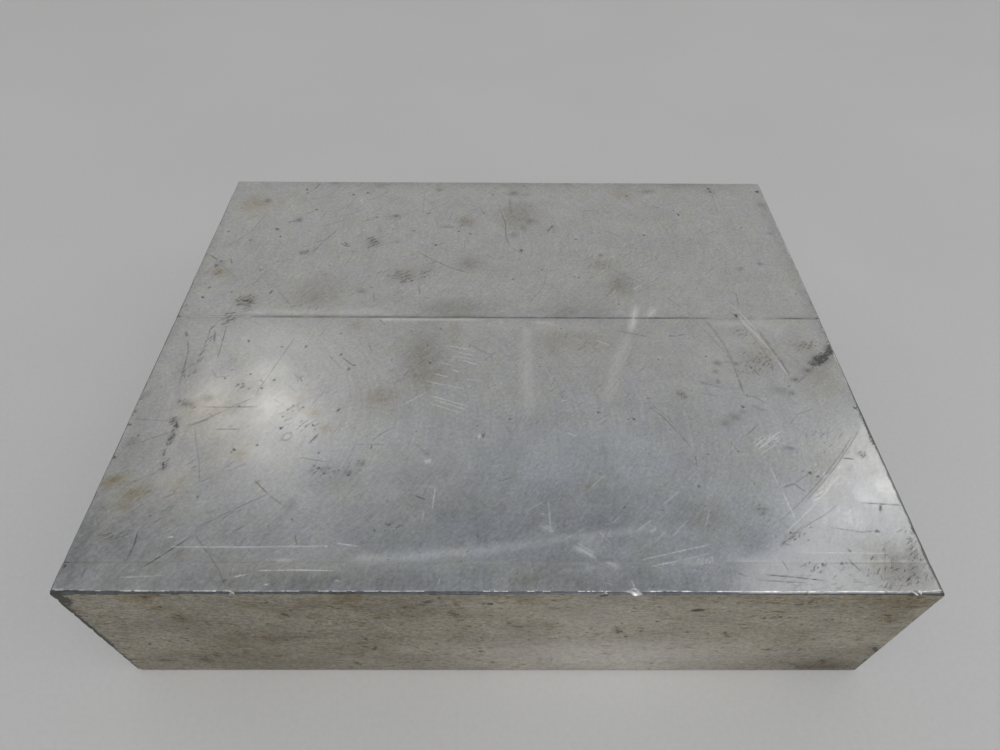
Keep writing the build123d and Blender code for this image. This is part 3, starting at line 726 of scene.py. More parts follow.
def mark_steps(x, y, reach, need, lines, spots):
    """Asks for fine cells under marks: lines and spots in millimetres, each with its size and its step."""
    for points, width, step in lines:
        near = line_distance(x, y, points, width + reach.max() + 1) - reach < width
        need[near] = np.minimum(need[near], step)
    for px, py, radius, step in spots:
        near = np.hypot(x - px, y - py) - reach < radius
        need[near] = np.minimum(need[near], step)


def spot_steps(spots):
    """The spots of mark_steps for small soft dark spots."""
    sizes = [(x, y, max(half_x, half_y)) for x, y, half_x, half_y, _ in spots]
    return [(x, y, 1.2 * size, 2 if size < 1.9 else 4) for x, y, size in sizes if size < 4]


def pit_steps(pits):
    """The spots of mark_steps for pits."""
    return [(x, y, 1.6 * radius, 1) for x, y, radius in pits]


def row_steps(marks, spread, fine_below):
    """The lines of mark_steps for smudges or streaks, which get finer cells below a certain width."""
    return [(pairs(row), spread * width, 2 if width < fine_below else 4) for row, width, _ in marks]


def needed_steps(face, centre, half):
    """How fine each cell has to be along X, Y and Z, in lattice steps."""
    name = face[0]
    need = np.full((len(centre), 3), float(COARSEST))
    if name in ("left", "right"):
        need[:, 2] = 1
    edge_steps(centre, half, need)
    if name == "top":
        for line in (BACK_LINE, FRONT_LINE):
            gap = np.maximum(np.abs(centre[:, 1] - line) - half[:, 1], 0)
            need[gap < 0.3 * MM, 1] = 1
        x, y = centre[:, 0] / MM, (centre[:, 1] - LOW[1]) / MM
        reach = np.hypot(half[:, 0], half[:, 1]) / MM
        lines = [(points, 0.6 * width, 1 if width < 0.7 else 2) for points, width, *_ in SCRATCH_LINES]
        lines += row_steps(SMUDGES, 1.3, 2)
        lines += row_steps([streak for streak in BURNISH_AND_REFLECTIONS if streak[1] < 3], 1.5, 1.2)
        rings = [(px, py, 1.4 * radius, 2) for px, py, radius, _ in RINGS]
        mark_steps(x, y, reach, need, lines, pit_steps(PITS) + rings + spot_steps(SPOTS))
    if name == "front":
        x, z = centre[:, 0] / MM, centre[:, 2] / MM
        reach = np.hypot(half[:, 0], half[:, 2]) / MM
        spots = pit_steps(FRONT_PITS) + spot_steps(FRONT_SPOTS)
        mark_steps(x, z, reach, need, row_steps(FRONT_SMUDGES, 1.3, 2), spots)
    return need


def leaf_cells(face):
    """Cells of one face, as the lattice place and size of each: fine near edges, nicks and marks."""
    name, u, v, w, end, root_u, root_v = face
    gu, gv = np.meshgrid(np.arange(0, STEPS[u], root_u), np.arange(0, STEPS[v], root_v), indexing="ij")
    cells = np.stack([gu.ravel(), gv.ravel(), np.full(gu.size, root_u), np.full(gu.size, root_v)], 1)
    done = []
    while len(cells):
        centre = np.zeros((len(cells), 3))
        half = np.zeros((len(cells), 3))
        centre[:, u] = cells[:, 0] + cells[:, 2] / 2
        centre[:, v] = cells[:, 1] + cells[:, 3] / 2
        centre[:, w] = STEPS[w] * end
        half[:, u] = cells[:, 2] / 2
        half[:, v] = cells[:, 3] / 2
        need = needed_steps(face, LOW + centre * STEP, half * STEP)
        split_u = (cells[:, 2] > need[:, u]) & (cells[:, 2] > 1)
        split_v = ~split_u & (cells[:, 3] > need[:, v]) & (cells[:, 3] > 1)
        keep = ~split_u & ~split_v
        done.append(cells[keep])
        halves = []
        for chosen, place, size in ((cells[split_u], 0, 2), (cells[split_v], 1, 3)):
            first, second = chosen.copy(), chosen.copy()
            first[:, size] = chosen[:, size] // 2
            second[:, place] += first[:, size]
            second[:, size] -= first[:, size]
            halves += [first, second]
        cells = np.concatenate(halves)
    return np.concatenate(done)


def lattice_mesh():
    """Corners and polygons of the bar's surface. A cell beside finer ones takes in their corners too."""
    corners_of = []
    for face in FACES:
        name, u, v, w, end, *_ = face
        cells = leaf_cells(face)
        loops = np.zeros((len(cells), 4, 3), dtype=np.int64)
        loops[:, :, w] = STEPS[w] * end
        for n, (du, dv) in enumerate(((0, 0), (1, 0), (1, 1), (0, 1))):
            loops[:, n, u] = cells[:, 0] + du * cells[:, 2]
            loops[:, n, v] = cells[:, 1] + dv * cells[:, 3]
        corners_of.append((name, loops[:, :: OUTWARD_ORDER[name]]))
    places = np.unique(np.concatenate([loops.reshape(-1, 3) for _, loops in corners_of]), axis=0)
    index = {tuple(p): n for n, p in enumerate(places.tolist())}
    rows = defaultdict(list)
    for i, j, k in places.tolist():
        rows[0, j, k].append(i)
        rows[1, i, k].append(j)
        rows[2, i, j].append(k)
    for row in rows.values():
        row.sort()
    polygons, names = [], []
    for name, loops in corners_of:
        for loop in loops.tolist():
            polygon = []
            for n in range(4):
                start, stop = loop[n], loop[(n + 1) % 4]
                axis = next(a for a in range(3) if start[a] != stop[a])
                row = rows[(axis, *[start[a] for a in range(3) if a != axis])]
                low, high = sorted((start[axis], stop[axis]))
                between = row[bisect_left(row, low) : bisect_right(row, high)]
                if start[axis] > stop[axis]:
                    between = between[::-1]
                for value in between[:-1]:
                    place = list(start)
                    place[axis] = value
                    polygon.append(index[tuple(place)])
            polygons.append(polygon)
            names.append(name)
    return places, polygons, names


def top_height(y):
    """Height of the milled face at each Y: three passes, each at its own level."""
    back = smooth((y - BACK_LINE) / STEP_SLOPE + 0.5)
    front = smooth((FRONT_LINE - y) / STEP_SLOPE + 0.5)
    return HIGH[2] - MIDDLE_DROP * (1 - back) + (MIDDLE_DROP - FRONT_DROP) * front


def round_max(a, b, radius):
    """The larger of two wall distances, with the corner between them rounded."""
    outside = np.hypot(np.maximum(a + radius, 0), np.maximum(b + radius, 0))
    return np.minimum(np.maximum(a, b), -radius) + outside


def front_bevel_leg(x):
    """Leg of the bevel on the upper front edge: ragged, and wider towards both ends."""
    leg = UPPER_BEVEL * (1 + 0.22 * rough_noise(x, 9 * MM, 11) + 0.10 * rough_noise(x, 1.6 * MM, 21))
    leg = leg + FRONT_WIDENING * smooth((LOW[0] + LEFT_STRETCH - x) / LEFT_STRETCH)
    return leg + FRONT_WIDENING * smooth((x - HIGH[0] + RIGHT_STRETCH) / RIGHT_STRETCH)


def right_bevel_leg(y):
    """Leg of the bevel on the upper right edge, which is widest at the front."""
    leg = RIGHT_BEVEL_BACK + (RIGHT_BEVEL_FRONT - RIGHT_BEVEL_BACK) * smooth((HIGH[1] - y) / WIDTH)
    return leg * (1 + 0.15 * rough_noise(y, 7 * MM, 31))


def scoop(p, edge, outward, width, depth):
    """How far inside a round nick each place lies."""
    radius = (width**2 / 4 + depth**2) / (2 * depth)
    centre = edge + outward * (radius - depth)
    return radius - np.linalg.norm(p - centre, axis=1)


def nick_depth(p):
    """How far inside the nicks of the front edges each place lies, below zero where it is outside them."""
    root2 = math.sqrt(2)
    rim = HIGH[2] - FRONT_DROP
    inside = np.full(len(p), -1.0)
    for distance, width, depth in FRONT_EDGE_NICKS:
        edge = np.array([distance * MM, LOW[1], rim])
        inside = np.maximum(inside, scoop(p, edge, np.array([0, -1, 1]) / root2, width * MM, depth * MM))
    for height, width, depth in LEFT_EDGE_NICKS:
        edge = np.array([LOW[0], LOW[1], height * MM])
        inside = np.maximum(inside, scoop(p, edge, np.array([-1, -1, 0]) / root2, width * MM, depth * MM))
    return inside


def outside_bar(p, start):
    """How far each place lies outside the finished bar. The waviness of an edge is read at its start."""
    x, y, z = p.T
    sx, sy, sz = start.T
    left, right = LOW[0] - x, x - HIGH[0]
    front, back = LOW[1] - y, y - HIGH[1]
    under, over = LOW[2] - z, z - top_height(y)
    left_leg = LEFT_BEVEL * (1 + 0.25 * rough_noise(sy, 8 * MM, 41))
    back_leg = BACK_BEVEL * (1 + 0.2 * rough_noise(sx, 8 * MM, 51))
    front_left_leg = SAWN_EDGE_BREAK + 0.25 * MM * np.abs(rough_noise(sz, 3 * MM, 61))

    solid = np.maximum.reduce([left, right, over])
    solid = np.maximum(solid, round_max(under, front, MILL_CORNER_RADIUS))
    solid = np.maximum(solid, round_max(under, back, MILL_CORNER_RADIUS))
    for a, b, leg in (
        (over, front, front_bevel_leg(sx)),
        (over, back, back_leg),
        (over, left, left_leg),
        (over, right, right_bevel_leg(sy)),
        (under, left, SAWN_EDGE_BREAK),
        (under, right, SAWN_EDGE_BREAK),
        (front, left, front_left_leg),
        (front, right, SAWN_EDGE_BREAK),
        (back, left, SAWN_EDGE_BREAK),
        (back, right, SAWN_EDGE_BREAK),
    ):
        solid = np.maximum(solid, (a + b + leg) / math.sqrt(2))
    solid = np.maximum(solid, nick_depth(p))
    for side, up, depth in CORNER_KNOCKS:
        corner = np.array([HIGH[0] * side, LOW[1], HIGH[2] - FRONT_DROP if up > 0 else LOW[2]])
        outward = np.array([side, -1, up]) / math.sqrt(3)
        solid = np.maximum(solid, (p - corner) @ outward + depth * MM)
    return solid


def saw_relief(y, z, seed):
    """Depth of the band saw's lines on a sawn end, which run across the bar and drift a little."""
    height = z + 0.6 * MM * wave_noise(y, 60 * MM, seed) + 0.01 * y
    fine = wave_noise(height, 0.55 * MM, seed + 1)
    coarse = wave_noise(height, 2.6 * MM, seed + 2)
    return MM * (0.045 + 0.02 * fine + 0.025 * coarse)


def relief(start):
    """Depth of the fine marks at each place: scratches and pits, and saw lines on the ends."""
    x, y, z = (start / MM).T
    from_front = y - LOW[1] / MM
    top = start[:, 2] > HIGH[2] - NEAR
    front = start[:, 1] < LOW[1] + NEAR
    depth = np.zeros(len(start))
    for number, (points, width, deep, *_) in enumerate(SCRATCH_LINES):
        fall = scratch_fall(x, from_front, points, width / 2, 0.0, number)
        depth = np.maximum(depth, top * deep * MM * fall)
    for number, pit in enumerate(PITS):
        depth = np.maximum(depth, top * PIT_DEPTH * pit[2] * MM * pit_fall(x, from_front, pit, number))
    for number, pit in enumerate(FRONT_PITS):
        depth = np.maximum(depth, front * PIT_DEPTH * pit[2] * MM * pit_fall(x, z, pit, number))
    ends = np.abs(start[:, 0]) > HIGH[0] - NEAR
    plain_rim = 1.5
    inner = smooth((HIGH[2] / MM - z) / plain_rim) * smooth((z - LOW[2] / MM) / plain_rim)
    inner = inner * smooth((HIGH[1] / MM - np.abs(y)) / plain_rim)
    return depth + np.where(ends, saw_relief(start[:, 1], start[:, 2], 71) * inner, 0)


# Each corner moves towards a box this far inside the bar, and the surface is found by halving the way to it
CORE_MARGIN = 5 * MM
HALVINGS = 22


def sculpt(places):
    """Start of each lattice corner on the box, and where it ends up, moved inwards to the surface."""
    start = LOW + places * STEP
    inwards = np.clip(start, LOW + CORE_MARGIN, HIGH - CORE_MARGIN) - start
    reach = np.linalg.norm(inwards, axis=1)
    direction = inwards / reach[:, None]
    marks = relief(start)
    near, far = np.zeros(len(start)), reach.copy()
    for _ in range(HALVINGS):
        middle = (near + far) / 2
        out = outside_bar(start + direction * middle[:, None], start) + marks > 0
        near = np.where(out, middle, near)
        far = np.where(out, far, middle)
    return start, start + direction * far[:, None]


def lay_on(layer, values):
    """Keeps the stronger of what is there and the new values."""
    np.maximum(layer, values, out=layer)


def pit_dirt(radius, number):
    """Strength of the dirt in a pit: more in a large one, and a little different in each."""
    return (0.72 + 0.28 * min(1.0, radius / 0.8)) * (0.86 + 0.14 * math.cos(GOLDEN_TURN * number))


def lay_ovals(x, y, layer, ovals):
    """Lays down soft ovals, each given as its middle, half sizes and strength."""
    for middle_x, middle_y, half_x, half_y, strength in ovals:
        lay_on(layer, strength * oval_fall(x, y, middle_x, middle_y, half_x, half_y))


def lay_smudges(x, y, layer, smudges):
    """Lays down smudges, each given as a row of places, half width and strength."""
    for row, width, strength in smudges:
        lay_on(layer, strength * line_fall(x, y, pairs(row), 1.5 * width, 0.2 * width))


def paint_top(x, y, paint):
    """Lays the marks of the milled face down at each place of it."""
    for number, (points, width, _, dirt, bare_and_glint) in enumerate(SCRATCH_LINES):
        fall = scratch_fall(x, y, points, 0.62 * width, 0.25 * width, number)
        lay_on(paint["dirt"], dirt * fall)
        lay_on(paint["bare_and_glint"], bare_and_glint * fall)
    for number, pit in enumerate(PITS):
        lay_on(paint["dirt"], pit_dirt(pit[2], number) * pit_fall(x, y, pit, number, 1.15, 0.45))
    for px, py, radius, strength in RINGS:
        wobble = 0.25 * np.sin(2 * np.arctan2(y - py, x - px) + px)
        away = np.abs(np.hypot(x - px, y - py) - radius - wobble)
        lay_on(paint["dirt"], strength * fade(away, 0, 0.42))
    lay_smudges(x, y, paint["smudge"], SMUDGES)
    # Spots, stains, dull places with painted shade, wear with painted highlights, and painted cool and warm
    # reflections
    for name, ovals in (
        ("dirt", SPOTS), ("stain", STAINS), ("dull_and_shade", DULL_AND_SHADE), ("worn_and_highlight", WORN_AND_HIGHLIGHTS), ("cool_reflection", COOL_REFLECTION), ("warm_stain_and_reflection", WARM_STAIN_AND_REFLECTION)
    ):
        lay_ovals(x, y, paint[name], ovals)
    # Burnished streaks, and painted reflections of bright strips
    for row, width, strength in BURNISH_AND_REFLECTIONS:
        lay_on(paint["worn_and_highlight"], strength * streak_fall(x, y, pairs(row), width))
    # The bright corner: paler, partly a painted highlight, with less dull paint and painted shade
    corner, grimy = bright_corner(x, y), oval_fall(x, y, *GRIMY_PLACE)
    paint["dull_and_shade"] *= 1 - 0.8 * corner * (1 - grimy)
    lay_on(paint["worn_and_highlight"], 0.46 * corner * (1 - 0.6 * grimy))
    # Painted shade along the step between the passes
    lay_on(paint["dirt"], pass_line_shade(x) * fade(np.abs(y - pass_line_place(x)), 0.20, 0.32))
    front_line_dirt = 0.40 + 0.15 * rough_noise(x, 9, 81) - 0.18 * smooth((x + 40) / 60)
    lay_on(paint["dirt"], front_line_dirt * fade(np.abs(y - FRONT_LINE_DIRT[0]), 0, FRONT_LINE_DIRT[1]))
    # A painted highlight along the line beside the front strip, on the right
    glint = fade(np.abs(y - FRONT_LINE_GLINT[0]), 0, FRONT_LINE_GLINT[1])
    lay_on(paint["worn_and_highlight"], 0.62 * smooth((x - 60) / 14) * glint)


def bright_corner(x, y):
    """1 in the bright corner of the milled face, a brighter finish with a painted highlight, and 0
    elsewhere, softer towards the front edge.
    """
    beyond = np.hypot(x - BRIGHT_CORNER_CENTRE[0], y - BRIGHT_CORNER_CENTRE[1]) - BRIGHT_CORNER_RADIUS
    beyond -= 3.4 * smooth((32 - y) / 14)
    blur = 2.4 + 4.0 * smooth((34 - y) / 16)
    return smooth(beyond / blur + 0.45) * smooth((x - 60) / 14)


def pass_line_place(x):
    """Distance from the front edge of the dark line between the back pass and the middle one."""
    return (BACK_LINE - LOW[1]) / MM + 0.08 * rough_noise(x, 14, 85)


def pass_line_shade(x):
    """Painted shade of the step between the passes, laid down as dirt: faint at the left, then strong, and
    broken at the right.
    """
    strength = 0.46 + 0.30 * smooth((x + 102) / 16) + 0.10 * smooth((x + 60) / 20)
    broken = smooth((x - 76) / 5) * (1 - smooth((x - 104) / 6))
    strength = strength - 0.26 * broken - 0.20 * smooth((x - 112) / 10)
    return np.clip(strength * (1 + 0.22 * rough_noise(x, 4, 91)), 0, 1)


def paint_front(x, z, paint):
    """Lays the marks of the front side down at each place of it."""
    for number, pit in enumerate(FRONT_PITS):
        lay_on(paint["dirt"], 0.95 * pit_dirt(pit[2], number) * pit_fall(x, z, pit, number, 1.15, 0.2))
    lay_ovals(x, z, paint["dirt"], FRONT_SPOTS)
    lay_smudges(x, z, paint["smudge"], FRONT_SMUDGES)
    for px, pz, radius, strength in FRONT_STAINS:
        lay_on(paint["stain"], strength * oval_fall(x, z, px, pz, 1.2 * radius, radius))
    # Darker places of the front side, with painted shade along its underside
    lay_ovals(x, z, paint["dull_and_shade"], FRONT_DULL_AND_SHADE)
    lay_ovals(x, z, paint["worn_and_highlight"], FRONT_PALE)


def paint_edges(finished, paint):
    """Bare metal with painted glints in the nicks, painted glints along the rims of the front and right
    bevels, and dirt on the right bevel and down the front left edge."""
    x, y, z = finished.T
    # Bare metal with a painted highlight in the nicks
    broken = smooth(0.5 + 1.6 * rough_noise(x + 2 * z, 0.7 * MM, 121, 2))
    upper = smooth((z - HIGH[2] + 4 * MM) / MM)
    in_nick = nick_depth(finished) > -0.02 * MM
    lay_on(paint["bare_and_glint"], np.where(in_nick, 0.60 * broken * upper, 0.0))

    on_top = z > HIGH[2] - MIDDLE_DROP - 0.1 * MM
    # Painted glints along the rim of the front bevel
    from_rim = y - LOW[1] - front_bevel_leg(x)
    share = np.interp(x / MM, *zip(*RIM_GLINTS))
    ripple = rough_noise(x, 0.9 * MM, 101, 2) + 0.4 * rough_noise(x, 12 * MM, 105)
    glint = smooth((ripple + share - 0.62) / 0.45)
    rim = on_top * fade(np.abs(from_rim - 0.04 * MM), 0, 0.20 * MM)
    lay_on(paint["bare_and_glint"], rim * share * (0.18 + 0.82 * glint))

    from_right = HIGH[0] - x - right_bevel_leg(y)
    # Painted glints along the rim of the right bevel
    glint = smooth((rough_noise(y, 2.6 * MM, 111, 2) - 0.05) / 0.3)
    rim = on_top * fade(np.abs(from_right - 0.08 * MM), 0, 0.26 * MM)
    at_front = smooth((LOW[1] + 88 * MM - y) / (30 * MM))
    lay_on(paint["bare_and_glint"], rim * (0.10 + 0.5 * glint) * (1 - 0.8 * at_front))
    crumbly = 0.36 * MM + 0.26 * MM * rough_noise(y, 1.1 * MM, 141, 2)
    bevel = smooth((z - HIGH[2] + 1.6 * MM) / (0.8 * MM))
    lay_on(paint["dirt"], 0.80 * at_front * bevel * fade(from_right, 0.5 * crumbly, crumbly))

    from_left = np.hypot(x - LOW[0], y - LOW[1])
    ragged = 0.9 * MM + 0.5 * MM * rough_noise(z, 1.3 * MM, 131)
    lay_on(paint["dirt"], 0.85 * (z < HIGH[2] - MM) * fade(from_left, 0.5 * ragged, ragged))


PAINTS = ("dirt", "bare_and_glint", "smudge", "stain", "worn_and_highlight", "dull_and_shade", "cool_reflection", "warm_stain_and_reflection")


def paint_marks(start, finished):
    """Eight amounts at every corner of the mesh, which the finishes read as dirt, bare metal and so on."""
    paint = {name: np.zeros(len(start)) for name in PAINTS}
    for chosen, lay, height in (
        (start[:, 2] > HIGH[2] - NEAR, paint_top, start[:, 1] - LOW[1]),
        (start[:, 1] < LOW[1] + NEAR, paint_front, start[:, 2] - LOW[2]),
    ):
        part = {name: values[chosen] for name, values in paint.items()}
        lay(start[chosen, 0] / MM, height[chosen] / MM, part)
        for name in PAINTS:
            paint[name][chosen] = part[name]
    paint_edges(finished, paint)
    return paint


# Number of the finish of each face of the lattice, and of the bevels between them. A polygon within
# BEVEL_REACH of an edge belongs to a bevel where no part of its normal reaches BEVEL_NORMAL. Those of the
# rolled lower corners don't: they lie within LOWER_REACH of the underside, and their normals hardly point
# along the bar.
FINISH_OF = {"top": 0, "front": 1, "back": 1, "bottom": 1, "left": 2, "right": 2}
BEVEL_FINISH = 3
BEVEL_NORMAL = 0.93
BEVEL_REACH = 2.2 * MM
LOWER_REACH = 1.5 * MM
SIDE_NORMAL = 0.3
# Edges that turn by more degrees than this are sharp
SHARP_TURN = 24


def finish_numbers(mesh, names):
    """Number of the finish of every polygon. Sloping polygons near an edge belong to a bevel."""
    numbers = np.array([FINISH_OF[name] for name in names])
    normals = np.zeros(3 * len(names))
    centres = np.zeros(3 * len(names))
    mesh.polygons.foreach_get("normal", normals)
    mesh.polygons.foreach_get("center", centres)
    normals, centres = normals.reshape(-1, 3), centres.reshape(-1, 3)
    gaps = np.sort(np.minimum(centres - LOW, HIGH - centres), axis=1)
    sloping = (np.abs(normals).max(axis=1) < BEVEL_NORMAL) & (gaps[:, 1] < BEVEL_REACH)
    lower_corner = (centres[:, 2] < LOW[2] + LOWER_REACH) & (np.abs(normals[:, 0]) < SIDE_NORMAL)
    numbers[sloping & ~lower_corner] = BEVEL_FINISH
    return numbers


# The visible bar is cut into three lengths, so that none has more than 200,000 triangles: the name of each
# and the lattice columns where it starts and stops. They meet exactly, and walls close them where they are
# cut.
LENGTHS = (("bar_left", 0, 320), ("bar_middle", 320, 704), ("bar_right", 704, STEPS[0]))


def cut_ring(places, column):
    """The corners all round the bar at one column of the lattice, in order, for the wall there."""
    width, height = STEPS[1], STEPS[2]
    ring = []
    for number in np.flatnonzero(places[:, 0] == column).tolist():
        _, j, k = places[number].tolist()
        if k == 0:
            turn = j
        elif j == width:
            turn = width + k
        elif k == height:
            turn = width + height + width - j
        else:
            turn = 2 * width + 2 * height - k
        ring.append((turn, number))
    return [number for _, number in sorted(ring)]


def new_object(name, data):
    """A new object in the scene."""
    made = bpy.data.objects.new(name, data)
    bpy.context.scene.collection.objects.link(made)
    return made


def build_length(name, corners, polygons, faces, paint, finishes):
    """One length of the bar as a closed mesh, with its marks laid down and a finish on every polygon."""
    used = np.unique(np.concatenate(polygons))
    mesh = bpy.data.meshes.new(name + "_surface")
    mesh.from_pydata(corners[used].tolist(), [], [np.searchsorted(used, p).tolist() for p in polygons])
    mesh.polygons.foreach_set("use_smooth", np.ones(len(polygons), dtype=bool))
    mesh.set_sharp_from_angle(angle=math.radians(SHARP_TURN))
    for layer_name, values in paint.items():
        layer = mesh.attributes.new(layer_name, "FLOAT", "POINT")
        layer.data.foreach_set("value", values[used])
    for finish in finishes:
        mesh.materials.append(finish)
    mesh.polygons.foreach_set("material_index", finish_numbers(mesh, faces))
    print(name, "cells", len(polygons), "triangles", sum(len(p) - 2 for p in polygons))
    piece = new_object(name, mesh)
    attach(piece, "root")
    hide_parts("bar")


def build_bar(finishes):
    """The whole bar, made as one closed surface and then cut into its lengths."""
    places, polygons, faces = lattice_mesh()
    start, finished = sculpt(places)
    paint = paint_marks(start, finished)
    middles = [places[polygon, 0].mean() for polygon in polygons]
    for name, first, last in LENGTHS:
        chosen = [n for n, middle in enumerate(middles) if first <= middle <= last]
        part = [polygons[n] for n in chosen]
        part_faces = [faces[n] for n in chosen]
        if first > 0:
            part.append(cut_ring(places, first)[::-1])
            part_faces.append("left")
        if last < STEPS[0]:
            part.append(cut_ring(places, last))
            part_faces.append("right")
        build_length(name, finished, part, part_faces, paint, finishes)


class Finish:
    """A material under construction, with short names for the nodes that the finishes use."""

    def __init__(self, name):
        self.material = bpy.data.materials.new(name)
        self.material.use_nodes = True
        self.tree = self.material.node_tree
        self.shader = self.tree.nodes["Principled BSDF"]
        place = self.node("ShaderNodeTexCoord").outputs["Object"]
        self.millimetres = self.scaled(place, (1 / MM,) * 3)

    def node(self, kind, **settings):
        """A new node with these settings."""
        made = self.tree.nodes.new(kind)
        for key, value in settings.items():
            setattr(made, key, value)
        return made

    def feed(self, socket, value):
        """Gives a socket a link or a plain value."""
        if isinstance(value, bpy.types.NodeSocket):
            self.tree.links.new(value, socket)
        else:
            socket.default_value = value

    def math(self, operation, a, b=0.0):
        """One operation on two numbers."""
        made = self.node("ShaderNodeMath", operation=operation)
        self.feed(made.inputs[0], a)
        self.feed(made.inputs[1], b)
        return made.outputs[0]

    def scaled(self, vector, scale, turn=0.0):
        """The place, read in a frame that is turned about Z by an angle in degrees, and then scaled."""
        made = self.node("ShaderNodeMapping", vector_type="TEXTURE")
        self.feed(made.inputs["Vector"], vector)
        made.inputs["Rotation"].default_value = (0, 0, math.radians(turn))
        made.inputs["Scale"].default_value = tuple(1 / s for s in scale)
        return made.outputs[0]

    def noise(self, vector, scale, detail, roughness=0.5, distortion=0.0):
        """Soft noise around one half."""
        made = self.node("ShaderNodeTexNoise")
        self.feed(made.inputs["Vector"], vector)
        made.inputs["Scale"].default_value = scale
        made.inputs["Detail"].default_value = detail
        made.inputs["Roughness"].default_value = roughness
        made.inputs["Distortion"].default_value = distortion
        return made.outputs["Fac"]

    def long_noise(self, squeeze, *settings):
        """Soft noise drawn out along the bar: the places along it are squeezed by this share."""
        return self.noise(self.scaled(self.millimetres, (squeeze, 1.0, 1.0)), *settings)

    def step(self, value, low, high):
        """0 below the low value, 1 above the high one, and a smooth rise between them."""
        made = self.node("ShaderNodeMapRange", interpolation_type="SMOOTHSTEP")
        self.feed(made.inputs["Value"], value)
        self.feed(made.inputs["From Min"], low)
        self.feed(made.inputs["From Max"], high)
        return made.outputs[0]

    def spread(self, value, low, high):
        """Noise around one half, spread between the low and the high value."""
        made = self.node("ShaderNodeMapRange")
        self.feed(made.inputs["Value"], value)
        made.inputs["From Min"].default_value = 0.25
        made.inputs["From Max"].default_value = 0.75
        made.inputs["To Min"].default_value = low
        made.inputs["To Max"].default_value = high
        return made.outputs[0]

    def mix(self, amount, a, b, blend="MIX"):
        """Colour a with this much of colour b blended in."""
        made = self.node("ShaderNodeMix", data_type="RGBA", blend_type=blend)
        self.feed(made.inputs["Factor"], amount)
        self.feed(made.inputs["A"], a)
        self.feed(made.inputs["B"], b)
        return made.outputs["Result"]

    def times(self, colour, tint):
        """One colour times another."""
        return self.mix(1.0, colour, tint, "MULTIPLY")

    def tinted(self, amount, colour, tint):
        """A colour with this much of a tint laid over it."""
        return self.mix(amount, colour, self.times(colour, tint))

    def toned(self, colour, *layers):
        """A colour made lighter and darker by noises, each given with its share of change."""
        tone = self.product(*[self.spread(layer, 1 - change, 1 + change) for layer, change in layers])
        return self.times(colour, self.grey(tone))

    def grey(self, value):
        """A number as a colour."""
        made = self.node("ShaderNodeCombineColor")
        for socket in made.inputs:
            self.feed(socket, value)
        return made.outputs[0]

    def mark(self, name):
        """One of the amounts that paint_marks laid on the mesh."""
        return self.node("ShaderNodeAttribute", attribute_name=name).outputs["Fac"]

    def total(self, *values):
        """The sum of the values."""
        result = values[0]
        for value in values[1:]:
            result = self.math("ADD", result, value)
        return result

    def capped(self, value):
        """The value, or 1 where it is larger."""
        return self.math("MINIMUM", value, 1.0)

    def product(self, *values):
        """The product of the values."""
        result = values[0]
        for value in values[1:]:
            result = self.math("MULTIPLY", result, value)
        return result

    def hairlines(self, turn, width, length, patch):
        """Fine straight lines in one direction, in millimetres, kept to patches of the surface."""
        stretched = self.scaled(self.millimetres, (1 / length, 1 / width, 1 / length), turn)
        lines = self.step(self.noise(stretched, 1.0, 1.0), 0.68, 0.75)
        patches = self.step(self.noise(self.millimetres, 1 / patch, 2.0), 0.50, 0.62)
        return self.product(lines, patches)

    def bump(self, height, distance):
        """Feeds a fine relief to the shader: a height, and the metres that one unit of it stands for."""
        made = self.node("ShaderNodeBump")
        made.inputs["Strength"].default_value = 1.0
        made.inputs["Distance"].default_value = distance
        self.feed(made.inputs["Height"], height)
        self.feed(self.shader.inputs["Normal"], made.outputs[0])

    def marked(self, colour, roughness, dirt):
        """The finished material: the marks laid over the colour of the metal, and all of it connected."""
        place = self.millimetres
        strokes = self.noise(self.scaled(place, (0.62, 1.15, 1.0), 38), 1.0, 4.0, 0.62, 0.7)
        smudge = self.mark("smudge")
        flecks = self.step(self.total(strokes, self.product(smudge, 0.34)), 0.61, 0.75)
        darkness = self.total(self.product(smudge, 0.55), 0.30)
        speckled = self.product(flecks, darkness, self.step(smudge, 0.02, 0.15))
        smeared = self.total(speckled, self.product(smudge, 0.12))
        dirt = self.capped(self.total(self.mark("dirt"), smeared, dirt))
        patches = self.noise(self.scaled(place, (0.35, 0.9, 1.0), 42), 0.8, 4.0, 0.7)
        stain = self.capped(self.product(self.mark("stain"), self.spread(patches, 0.10, 1.70)))
        colour = self.tinted(stain, colour, STAIN_TINT)
        uneven = self.noise(self.scaled(place, (0.5, 1.0, 1.0), 62), 0.42, 6.0, 0.78)
        # Wear, with painted highlights on the left patch and the right front corner
        worn_and_highlight = self.product(self.mark("worn_and_highlight"), self.spread(uneven, 0.40, 1.60))
        colour = self.mix(worn_and_highlight, colour, WORN_METAL_AND_HIGHLIGHT)
        # Dull places, with painted shade along the front rows
        dull_and_shade = self.product(self.mark("dull_and_shade"), self.spread(uneven, 1.6, 0.4))
        colour = self.tinted(dull_and_shade, colour, DULL_AND_SHADE_TINT)
        # Painted reflections: a bluish tint from the sky, and a warm one from the lamp patch on the left
        # and from stains
        colour = self.tinted(self.mark("cool_reflection"), colour, COOL_REFLECTION_TINT)
        colour = self.tinted(self.mark("warm_stain_and_reflection"), colour, WARM_STAIN_AND_REFLECTION_TINT)
        colour = self.mix(self.product(dirt, 0.9), colour, DIRT)
        bare_and_glint = self.mark("bare_and_glint")
